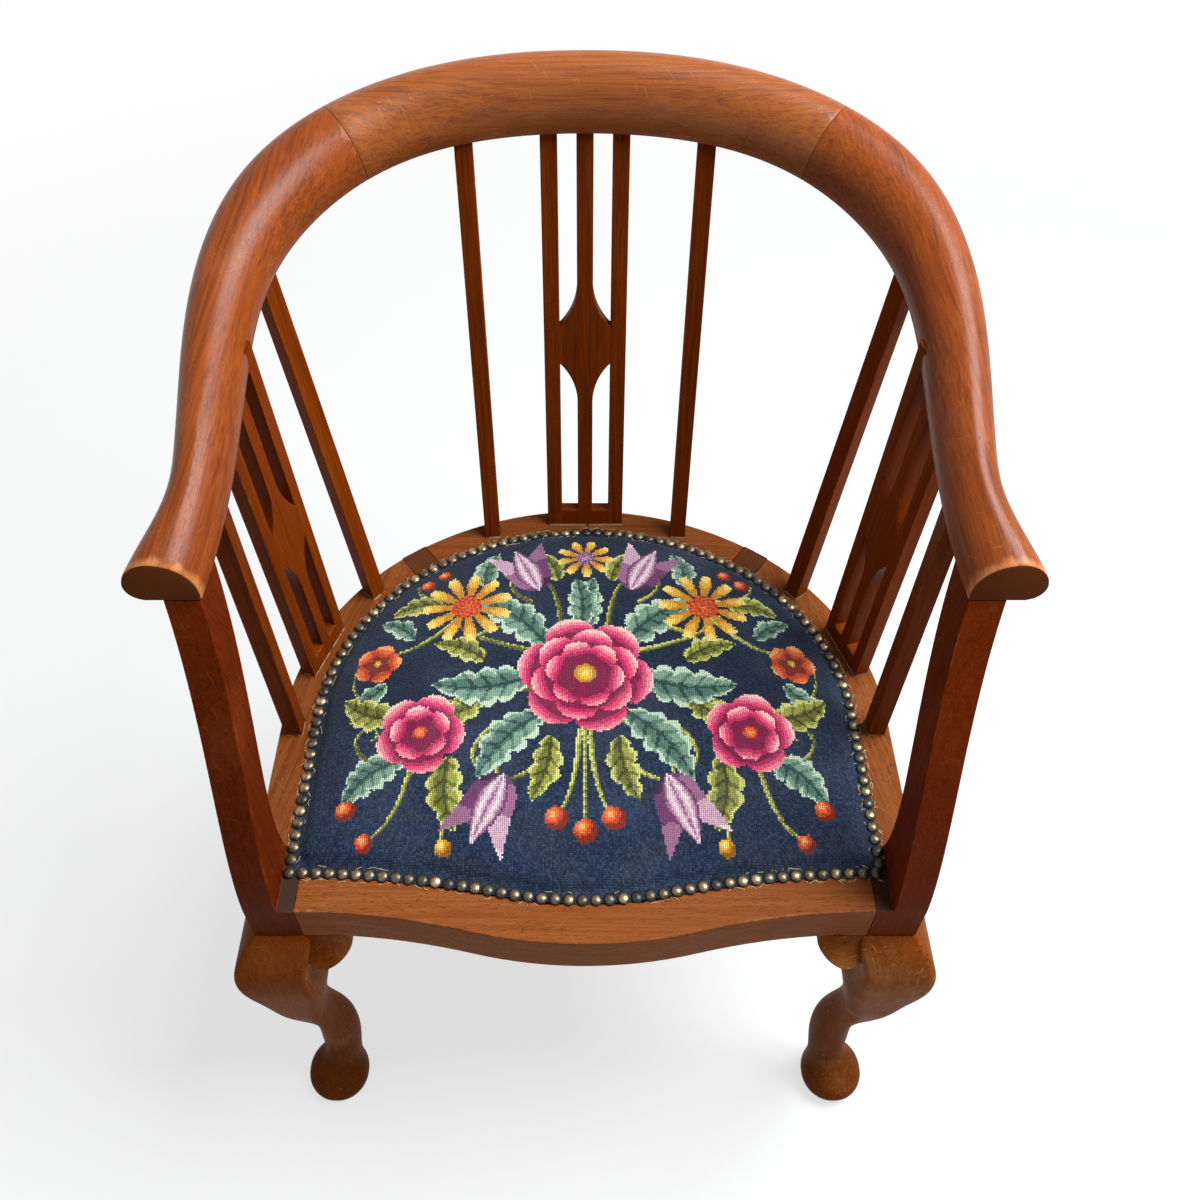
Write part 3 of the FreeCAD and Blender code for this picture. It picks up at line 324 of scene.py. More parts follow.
@dataclass(frozen=True)
class Mahogany(Finish):
    """Polished mahogany, by the tones that a piece shows.

    Args:
        dark: The darkest streaks of the figure.
        middle: The general tone.
        light: The lightest streaks.
        worn: The wood where polish has rubbed through.
        rough: How dull the polish is.
        pores: How plainly the open pores show.
        scuffs: How much scratches and rubbed patches show.
        edge_wear: How far the arrises are worn.
        wax: How plainly old wax shows round the foot.
        wax_tone: The colour of that wax.
        end_grain: The colour of a sawn end.
        floor_shade: How far the wood is darkened towards the floor, as painted shade.
        shine: How strongly the polish mirrors its surroundings.
        seam: How dark the line is where another piece meets it.
        end_wear: How far hands have rubbed the wood behind the end of an arm.
    """

    dark: Colour
    middle: Colour
    light: Colour
    worn: Colour
    rough: float = 0.36
    pores: float = 0.5
    scuffs: float = 0.3
    edge_wear: float = 0.5
    wax: float = 0.0
    wax_tone: Colour = linear(206, 186, 150)
    end_grain: Colour = (0.06, 0.025, 0.01)
    floor_shade: float = 0.0
    shine: float = 0.2
    seam: float = 0.85
    end_wear: float = 0.0

    def dress(self, g: Graph) -> bpy.types.Material:
        """Fill a material with the polished wood.

        Args:
            g: The material's empty tree.

        Returns:
            The material.
        """
        grain = g.attribute("grain", "Vector")
        place = g.place()
        joint = g.attribute("joint")
        drift = g.noise(grain, (2.2, 9.0, 9.0), 2.0) * 0.02
        bent = g.vector("ADD", grain, g.node("ShaderNodeCombineXYZ", None, {1: drift, 2: drift}))
        streaks = g.noise(bent, (5.0, 340.0, 340.0), 5.0, 0.62)
        bands = g.noise(bent, (1.4, 46.0, 46.0), 3.0)
        fibres = g.noise(grain, (26.0, 900.0, 900.0), 3.0)
        flecks = g.noise(grain, (150.0, 2100.0, 2100.0), 1.0).ramp(0.6, 0.7) * bands.ramp(0.3, 0.6)
        patches = g.noise(place, 13.0, 4.0)
        marks = self.scratches(g, place) * patches.ramp(0.35, 0.6)
        nicks = g.noise(bent, (130.0, 420.0, 420.0), 1.0).ramp(0.72, 0.77) * patches.ramp(0.4, 0.6)
        tone = streaks * 0.42 + bands * 0.26 + fibres * 0.34 + g.attribute("tone")
        colour = self.figure(g, tone, flecks)
        colour = g.mix(patches.ramp(0.52, 0.75) * self.scuffs * 0.6, colour, self.worn)
        colour = g.mix(marks * self.scuffs, colour, self.worn)
        colour = self.rubbed(g, colour, place, bent)
        colour = self.shaded_and_waxed(g, colour, place)
        colour = g.mix(nicks * self.scuffs * 3.0, colour, dimmed(self.dark, 0.2))
        ends = g.noise(place, 900.0, 3.0) * 0.25 + 0.75
        colour = g.mix(g.attribute("cut") * ends, colour, self.end_grain)
        colour = g.mix(joint * self.seam, colour, dimmed(self.dark, 0.12))
        haze = g.noise(place, 36.0, 4.0, 0.65)
        sockets = {
            "Base Color": colour,
            "Roughness": self.rough - 0.07 + haze * 0.14 + marks * 0.15 + flecks * 0.1 + joint * 0.3,
            "Specular IOR Level": self.shine,
            "Coat Weight": self.shine * 0.35,
            "Coat Roughness": 0.22,
        }
        relief = streaks * 0.15 - flecks * 0.5 - marks * 0.5 - nicks + haze * 0.4
        return g.surface(sockets, relief, 0.2, 0.0012)

    def figure(self, g: Graph, tone: Sock, flecks: Sock) -> Sock:
        """Return the colour of the wood itself.

        Args:
            g: The material's tree.
            tone: How light the figure is.
            flecks: Where open pores lie.

        Returns:
            The colour.
        """
        colour = g.mix(tone.ramp(0.28, 0.56), self.dark, self.middle)
        colour = g.mix(tone.ramp(0.5, 0.8), colour, self.light)
        return g.mix(flecks * self.pores, colour, dimmed(self.dark, 0.22))

    def rubbed(self, g: Graph, colour: Sock, place: Sock, bent: Sock) -> Sock:
        """Return the colour with the arrises and the ends of the arms worn.

        Args:
            g: The material's tree.
            colour: The colour so far.
            place: The object coordinates.
            bent: The place in the plank, along the bent grain.

        Returns:
            The colour.
        """
        broken = g.noise(place, 24.0, 2.0).ramp(0.45, 0.65) * g.noise(place, 260.0, 3.0).ramp(0.35, 0.6)
        colour = g.mix(g.attribute("arris") * broken * self.edge_wear, colour, self.worn)
        if self.end_wear:
            near = 1.0 - g.axis(place, "Y").ramp(ARM_END, ARM_END + 0.014)
            held = (near + g.noise(bent, (60.0, 210.0, 210.0), 4.0) * 1.2 - 0.95).ramp(0.1, 0.8)
            colour = g.mix(held * self.end_wear, colour, self.worn)
        return colour

    def shaded_and_waxed(self, g: Graph, colour: Sock, place: Sock) -> Sock:
        """Return the colour with painted shade near the floor and old wax round the foot.

        Args:
            g: The material's tree.
            colour: The colour so far.
            place: The object coordinates.

        Returns:
            The colour.
        """
        height = g.axis(place, "Z")
        # Painted shade: the wood is darkened towards the floor.
        if self.floor_shade:
            low = 1.0 - height.ramp(0.03, 0.26)
            colour = g.mix(low * self.floor_shade, colour, dimmed(self.dark, 0.3))
        if self.wax:
            foot = 1.0 - height.ramp(SEAT_TOP + 0.0008, SEAT_TOP + 0.002)
            crumbs = g.noise(place, 160.0, 3.0).ramp(0.3, 0.5)
            colour = g.mix(foot * crumbs * self.wax, colour, self.wax_tone)
        return colour

    @staticmethod
    def scratches(g: Graph, place: Sock) -> Sock:
        """Return fine scratches that run several ways.

        Args:
            g: The material's tree.
            place: The object coordinates.

        Returns:
            1 in a scratch and 0 beside it.
        """
        found: Sock | None = None
        for axis, angle, scale in (
            ((0.3, 0.5, 0.8), 0.9, (14.0, 700.0, 60.0)),
            ((0.7, -0.2, 0.6), 2.1, (18.0, 620.0, 90.0)),
            ((0.1, 0.9, 0.3), 1.4, (60.0, 420.0, 420.0)),
        ):
            turned = g.node("ShaderNodeVectorRotate", None, {"Vector": place, "Axis": axis, "Angle": angle})
            lines = g.noise(turned, scale, 1.0).ramp(0.7, 0.74)
            found = lines if found is None else g.math("MAXIMUM", found, lines)
        return found


@dataclass(frozen=True)
class PlainWood(Finish):
    """Unpolished secondary wood, as in blocks and dowels."""

    tone: Colour

    def dress(self, g: Graph) -> bpy.types.Material:
        """Fill a material with the plain wood.

        Args:
            g: The material's empty tree.

        Returns:
            The material.
        """
        place = g.place()
        streaks = g.noise(place, (40.0, 420.0, 420.0), 4.0)
        flecks = g.noise(place, (200.0, 900.0, 900.0), 1.0).ramp(0.58, 0.7)
        colour = g.mix(streaks.ramp(0.3, 0.7), dimmed(self.tone, 0.72), self.tone)
        colour = g.mix(flecks * 0.4, colour, dimmed(self.tone, 0.5))
        return g.surface({"Base Color": colour, "Roughness": 0.7 + streaks * 0.1}, streaks, 0.2)


@dataclass(frozen=True)
class AgedMetal(Finish):
    """Metal that has dulled, brighter where it is rubbed."""

    bright: Colour
    dull: Colour
    rough: float

    def dress(self, g: Graph) -> bpy.types.Material:
        """Fill a material with the metal.

        Args:
            g: The material's empty tree.

        Returns:
            The material.
        """
        tarnish = g.noise(g.place(), 330.0, 4.0, 0.65)
        shine = g.attribute("rubbed") * 0.75 + tarnish * 0.5 - 0.12
        sockets = {
            "Base Color": g.mix(shine.ramp(0.25, 0.85), self.dull, self.bright),
            "Metallic": shine.ramp(0.05, 0.7) * 0.6 + 0.3,
            "Roughness": self.rough + tarnish * 0.2,
        }
        return g.surface(sockets, tarnish, 0.15, 0.0005)


@dataclass(frozen=True)
class PlainWeave(Finish):
    """Coarse cloth of crossing threads."""

    tone: Colour
    pitch: float
    sheen: float = 0.2

    def dress(self, g: Graph) -> bpy.types.Material:
        """Fill a material with the cloth.

        Args:
            g: The material's empty tree.

        Returns:
            The material.
        """
        place = g.place()
        turn = math.tau / self.pitch
        warp = g.math("SINE", g.axis(place, "X") * turn)
        weft = g.math("SINE", g.axis(place, "Y") * turn)
        lift = warp * weft * 0.5 + 0.5
        slub = g.noise(place, 90.0, 4.0)
        # The threads are darker where they dip under those that cross them, as painted shade; the slubs vary
        # at random.
        colour = g.mix(lift * 0.6 + slub * 0.4, dimmed(self.tone, 0.45), self.tone)
        sockets = {"Base Color": colour, "Roughness": 0.9, "Sheen Weight": self.sheen}
        return g.surface(sockets, lift + slub, 0.5, 0.0008)


@dataclass(frozen=True)
class TentStitch(Finish):
    """Wool needlepoint, with a colour for each stitch held by the mesh.

    Args:
        pitch: The side of one stitch.
        canvas: The colour of the canvas between worn stitches.
        faded: The tone that the wool fades to.
        shift: A whole number of stitches that keeps their count above nought.
    """

    pitch: float
    canvas: Colour = (0.5, 0.45, 0.36)
    faded: Colour = (0.14, 0.2, 0.3)
    shift: float = 1000.0

    def dress(self, g: Graph) -> bpy.types.Material:
        """Fill a material with the needlepoint.

        Args:
            g: The material's empty tree.

        Returns:
            The material.
        """
        place = g.place()
        across = g.axis(place, "X") / self.pitch + self.shift
        along = g.axis(place, "Y") / self.pitch + self.shift
        inner_x = g.math("FRACT", across) - 0.5
        inner_y = g.math("FRACT", along) - 0.5
        slant = g.math("ABSOLUTE", inner_x - inner_y * 0.75)
        reach = g.math("ABSOLUTE", inner_x + inner_y)
        yarn = (1.0 - slant * 1.3) * (1.0 - reach * 1.1)
        cell = g.node("ShaderNodeCombineXYZ", None, {0: g.math("FLOOR", across), 1: g.math("FLOOR", along)})
        chance = g.node("ShaderNodeTexWhiteNoise", {"noise_dimensions": "2D"}, {"Vector": cell})
        fuzz = g.noise(place, 1500.0, 3.0)
        # Each stitch is darker in the gaps at its edges and lighter on its crown, as painted shade and
        # highlight; the stitches also differ at random in tone and fuzz.
        shade = yarn.ramp(0.02, 0.6) * 0.9 + 0.24 + chance * 0.26 + fuzz * 0.2
        grey = g.node("ShaderNodeCombineColor", None, {0: shade, 1: shade, 2: shade})
        colour = g.mix(1.0, g.attribute("stitch", "Color"), grey, "MULTIPLY")
        thin = slant.ramp(0.55, 0.8) * chance.ramp(0.45, 0.95)
        faded = g.noise(place, 16.0, 3.0).ramp(0.4, 0.7)
        colour = g.mix(thin * (faded * 0.35 + 0.1), colour, self.canvas)
        colour = g.mix(faded * 0.06, colour, self.faded)
        sockets = {"Base Color": colour, "Roughness": 0.95, "Specular IOR Level": 0.2, "Sheen Weight": 0.04}
        return g.surface(sockets, yarn + fuzz * 0.3, 0.7, 0.001)


@dataclass(frozen=True)
class PlainCloth(Finish):
    """Soft pale stuff with little figure."""

    tone: Colour

    def dress(self, g: Graph) -> bpy.types.Material:
        """Fill a material with the cloth.

        Args:
            g: The material's empty tree.

        Returns:
            The material.
        """
        slub = g.noise(g.place(), 700.0, 4.0)
        colour = g.mix(slub, dimmed(self.tone, 0.7), self.tone)
        return g.surface({"Base Color": colour, "Roughness": 0.9, "Sheen Weight": 0.2}, slub, 0.3, 0.0006)


def only(obj: bpy.types.Object) -> None:
    """Select one object and make it active."""
    bpy.ops.object.select_all(action="DESELECT")
    obj.select_set(True)
    bpy.context.view_layer.objects.active = obj


@contextmanager
def editing(obj: bpy.types.Object) -> Iterator[None]:
    """Hold a piece in edit mode, with all of its mesh selected at first.

    Args:
        obj: The piece.

    Yields:
        Nothing.
    """
    only(obj)
    bpy.ops.object.mode_set(mode="EDIT")
    bpy.ops.mesh.select_all(action="SELECT")
    yield
    bpy.ops.object.mode_set(mode="OBJECT")


def settle(obj: bpy.types.Object, name: str) -> bpy.types.Object:
    """Name a new piece and bake its place into its mesh.

    Args:
        obj: The piece.
        name: Its name.

    Returns:
        The piece.
    """
    only(obj)
    bpy.ops.object.transform_apply(location=True, rotation=True, scale=True)
    obj.name = name
    obj.data.name = name
    return obj


def finish_piece(obj: bpy.types.Object, material: bpy.types.Material) -> bpy.types.Object:
    """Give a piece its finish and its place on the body.

    Args:
        obj: The piece.
        material: Its finish.

    Returns:
        The piece.
    """
    obj.data.materials.clear()
    obj.data.materials.append(material)
    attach(obj, "root")
    LOG.info("%s: %d faces", obj.name, len(obj.data.polygons))
    return obj


def points_of(obj: bpy.types.Object) -> np.ndarray:
    """Return the corners of a piece's mesh, one row to a corner.

    Args:
        obj: The piece.

    Returns:
        The corners.
    """
    flat = np.empty(len(obj.data.vertices) * 3, dtype=np.float32)
    obj.data.vertices.foreach_get("co", flat)
    return flat.reshape(-1, 3)


def copy_node(node: bpy.types.Object, name: str) -> bpy.types.Object:
    """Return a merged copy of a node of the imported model.

    Args:
        node: The node.
        name: The copy's name.

    Returns:
        The copy.
    """
    only(node)
    bpy.ops.object.duplicate()
    copied = bpy.context.view_layer.objects.active
    copied.name = name
    copied.data.name = name
    with editing(copied):
        bpy.ops.mesh.remove_doubles(threshold=0.00002)
    if copied.data.has_custom_normals:
        bpy.ops.mesh.customdata_custom_splitnormals_clear()
    return copied


def islands(node: bpy.types.Object) -> list[Box]:
    """Find the loose parts of a node.

    Args:
        node: The node.

    Returns:
        The lowest and highest corner of every part.
    """
    copied = copy_node(node, f"{node.name}_parts")
    shape = bmesh.new()
    shape.from_mesh(copied.data)
    seen: set[int] = set()
    boxes: list[Box] = []
    for first in shape.verts:
        if first.index in seen:
            continue
        seen.add(first.index)
        waiting = [first]
        spread: list[Vector] = []
        while waiting:
            vertex = waiting.pop()
            spread.append(vertex.co.copy())
            for edge in vertex.link_edges:
                other = edge.other_vert(vertex)
                if other.index not in seen:
                    seen.add(other.index)
                    waiting.append(other)
        low = Vector([min(p[i] for p in spread) for i in range(3)])
        high = Vector([max(p[i] for p in spread) for i in range(3)])
        boxes.append((low, high))
    shape.free()
    bpy.data.objects.remove(copied)
    return boxes


def gather(meshes: list[bpy.types.Mesh], name: str) -> bpy.types.Object:
    """Join many small meshes as one piece.

    Args:
        meshes: The meshes.
        name: The piece's name.

    Returns:
        The piece.
    """
    bpy.ops.object.select_all(action="DESELECT")
    for mesh in meshes:
        one = bpy.data.objects.new(name, mesh)
        bpy.context.scene.collection.objects.link(one)
        one.select_set(True)
        bpy.context.view_layer.objects.active = one
    bpy.ops.object.join()
    made = bpy.context.view_layer.objects.active
    made.name = name
    made.data.name = name
    return made


def every(middles: np.ndarray) -> np.ndarray:
    """Choose every edge."""
    return np.ones(len(middles), dtype=bool)


@dataclass
class WoodPiece:
    """One piece of the show wood, finished from its node.

    Args:
        node: The node's name.
        finish: The material that it takes.
        bevel: How far its arrises are softened.
        grain: Which way its grain runs.
        softened: Which sharp edges are softened, by the middles of the edges.
        moulded: If its faces are rounded forms and not flats.
        cut: Which faces show end grain, by their middles and normals.
        ends: The material of those faces, where they aren't polished.
        eased: How far an edge is softened where another piece meets it.
        touch: How near another piece lies where it meets this one.
        sharp: The angle from which an edge is sharp.
        shortest: The length from which an edge is softened.
    """

    node: str
    finish: bpy.types.Material
    bevel: float = 0.0012
    grain: Grain = Grain.LENGTH
    softened: Chooser = every
    moulded: bool = False
    cut: Callable[[np.ndarray, np.ndarray], np.ndarray] | None = None
    ends: bpy.types.Material | None = None
    eased: float = 0.0004
    touch: float = 0.0005
    sharp: float = math.radians(32)
    shortest: float = 0.0008

    def build(self, frame: dict, surfaces: dict[str, BVHTree], seed: int) -> bpy.types.Object:
        """Return the finished piece.

        Args:
            frame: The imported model.
            surfaces: The surface of every piece of the show wood, by node.
            seed: What its own figure is drawn from.

        Returns:
            The piece.
        """
        obj = copy_node(frame["nodes"][self.node], f"{self.node}_finished")
        for name in ("arris", "joint", "cut"):
            obj.data.attributes.new(name, "FLOAT", "FACE")
        others = [tree for name, tree in surfaces.items() if name != self.node]
        with editing(obj):
            bpy.ops.mesh.select_mode(type="EDGE")
            bpy.ops.mesh.select_all(action="SELECT")
            bpy.ops.mesh.dissolve_limited(angle_limit=math.radians(0.3))
            self.soften(obj, "arris", self.bevel, lambda m: self.softened(m) & ~self.meeting(m, others))
            self.soften(obj, "joint", self.eased, lambda m: self.meeting(m, others))
        only(obj)
        bpy.ops.object.shade_smooth_by_angle(angle=math.radians(34))
        if not self.moulded:
            obj.modifiers.new("Flats", "WEIGHTED_NORMAL").keep_sharp = True
            bpy.ops.object.modifier_apply(modifier="Flats")
        self.lay_grain(obj, random.Random(seed))
        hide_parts(self.node)
        finish_piece(obj, self.finish)
        if self.cut is not None:
            self.mark_cut(obj)
        return obj

    def mark_cut(self, obj: bpy.types.Object) -> None:
        """Mark the sawn faces of the piece, and give them their own material if there is one.

        Args:
            obj: The finished piece.
        """
        middles = np.array([f.center for f in obj.data.polygons])
        normals = np.array([f.normal for f in obj.data.polygons])
        sawn = self.cut(middles, normals)
        obj.data.attributes["cut"].data.foreach_set("value", sawn.astype(np.float32))
        if self.ends is not None:
            obj.data.materials.append(self.ends)
            obj.data.polygons.foreach_set("material_index", sawn.astype(np.int32))

    def meeting(self, middles: np.ndarray, others: list[BVHTree]) -> np.ndarray:
        """Say which edges lie against another piece.

        Args:
            middles: The middles of the edges.
            others: The surfaces of the other pieces.

        Returns:
            A truth for each edge.
        """
        met = [any(tree.find_nearest(m, self.touch)[0] is not None for tree in others) for m in middles]
        return np.array(met)

    def soften(self, obj: bpy.types.Object, mark: str, width: float, chosen: Chooser) -> None:
        """Bevel the chosen sharp edges and mark the new faces.

        Args:
            obj: The piece, in edit mode.
            mark: The attribute that the new faces get.
            width: How far the edges are softened.
            chosen: Which edges are softened, by their middles.
        """
        bpy.ops.mesh.select_all(action="DESELECT")
        shape = bmesh.from_edit_mesh(obj.data)
        long_enough = [e for e in shape.edges if e.calc_length() > self.shortest]
        sharp = [e for e in long_enough if e.calc_face_angle(0.0) > self.sharp]
        if not sharp:
            return
        wanted = chosen(np.array([(e.verts[0].co + e.verts[1].co) / 2 for e in sharp]))
        for edge, take in zip(sharp, wanted):
            edge.select_set(bool(take))
        if not wanted.any():
            return
        bmesh.update_edit_mesh(obj.data)
        bpy.ops.mesh.bevel(offset=width, segments=2, profile=0.5, affect="EDGES", clamp_overlap=False)
        shape = bmesh.from_edit_mesh(obj.data)
        layer = shape.faces.layers.float[mark]
        for face in shape.faces:
            if face.select and face.calc_area() < 1.6 * width * max(e.calc_length() for e in face.edges):
                face[layer] = 1.0
        bmesh.update_edit_mesh(obj.data)

    def lay_grain(self, obj: bpy.types.Object, chance: random.Random) -> None:
        """Store where each point lies in the plank that the piece was cut from.

        Args:
            obj: The piece.
            chance: What its place in the plank and its tone are drawn from.
        """
        points = points_of(obj)
        centred = points - points.mean(axis=0)
        if self.grain is Grain.UPRIGHT:
            length = np.array([0.0, 0.0, 1.0])
        elif self.grain is Grain.ACROSS:
            length = np.array([1.0, 0.0, 0.0])
        else:
            length = np.linalg.eigh(centred.T @ centred)[1][:, 2]
        side = np.cross(length, [0.31, 0.22, 0.92] if abs(length[2]) < 0.8 else [0.93, 0.3, 0.1])
        side /= np.linalg.norm(side)
        axes = np.stack([length, side, np.cross(length, side)], axis=1)
        shift = np.array([chance.uniform(0, 9), chance.uniform(0, 9), chance.uniform(0, 9)])
        laid = obj.data.attributes.new("grain", "FLOAT_VECTOR", "POINT")
        laid.data.foreach_set("vector", (centred @ axes + shift).astype(np.float32).ravel())
        tone = obj.data.attributes.new("tone", "FLOAT", "POINT")
        tone.data.foreach_set("value", np.full(len(points), chance.uniform(-0.06, 0.06), dtype=np.float32))


@dataclass(frozen=True)
class SeatPlan:
    """The outline of the seat frame in plan.

    Args:
        half: Half the width across the front corners.
        front: Where the front corners lie.
        corner_x: How far the middle of a side arc lies from the plane of symmetry.
        corner_y: Where it lies from front to back.
        corner: The radius of the side arcs.
        back_y: Where the middle of the back arc lies.
        back: The radius of the back arc.
        turn: Half the angle of the back arc.
        bow: How far the front swells forward.
        swell: The radius of that swell.
        steps: How many steps an arc has.
    """

    half: float = 0.263
    front: float = -0.2506
    corner_x: float = 0.028
    corner_y: float = -0.0769
    corner: float = 0.235
    back_y: float = -0.1146
    back: float = 0.28196
    turn: float = math.radians(36.6)
    bow: float = 0.025
    swell: float = 0.4
    steps: int = 60

    def outline(self, inset: float) -> np.ndarray:
        """Draw the outline, moved inwards.

        Args:
            inset: How far it is moved.

        Returns:
            Points from the left front corner round by the right and the back.
        """
        span = self.half - inset
        share = span / self.half
        bow = self.bow * share
        lean = 2 * math.atan(bow / span)
        swell = self.swell * share
        hollow = span / math.sin(lean) - swell
        front = self.front + inset
        right: list[Point] = []
        for step in range(13):
            angle = lean * step / 12
            right.append((span - hollow * math.sin(angle), front - hollow * (1 - math.cos(angle))))
        points = [(-x, y) for x, y in right]
        middle = front - bow + swell
        for step in range(1, 48):
            angle = -lean + 2 * lean * step / 48
            points.append((swell * math.sin(angle), middle - swell * math.cos(angle)))
        points += reversed(right)
        quarter = math.pi / 2
        aside = quarter - self.turn
        radius = self.corner - inset
        points += self.arc((self.corner_x, self.corner_y), radius, 0.0, aside)
        points += self.arc((0.0, self.back_y), self.back - inset, aside, 2 * self.turn)[1:-1]
        points += self.arc((-self.corner_x, self.corner_y), radius, quarter + self.turn, aside)
        return np.array(points)

    def arc(self, middle: Point, radius: float, start: float, sweep: float) -> list[Point]:
        """Draw an arc.

        Args:
            middle: Its middle.
            radius: Its radius.
            start: The angle that it starts at.
            sweep: The angle that it covers.

        Returns:
            Points along it, with both ends.
        """
        angles = [start + sweep * step / self.steps for step in range(self.steps + 1)]
        return [(middle[0] + radius * math.cos(a), middle[1] + radius * math.sin(a)) for a in angles]

    def depth(self, places: np.ndarray) -> np.ndarray:
        """Measure how far inside the outline places lie.

        Args:
            places: The places, one to a row.

        Returns:
            The distance of each from the outline, negative outside it.
        """
        line = self.outline(0.0)
        ends = np.roll(line, -1, axis=0)
        best = np.full(len(places), 1e9)
        inside = np.zeros(len(places), dtype=bool)
        for start, end in zip(line, ends):
            run = end - start
            share = np.clip(((places - start) @ run) / max(run @ run, 1e-12), 0, 1)
            best = np.minimum(best, np.linalg.norm(places - start - share[:, None] * run, axis=1))
            crosses = (start[1] > places[:, 1]) != (end[1] > places[:, 1])
            with np.errstate(divide="ignore", invalid="ignore"):
                at = start[0] + (places[:, 1] - start[1]) * run[0] / run[1]
            inside ^= crosses & (places[:, 0] < at)
        return np.where(inside, best, -best)


PLAN = SeatPlan()


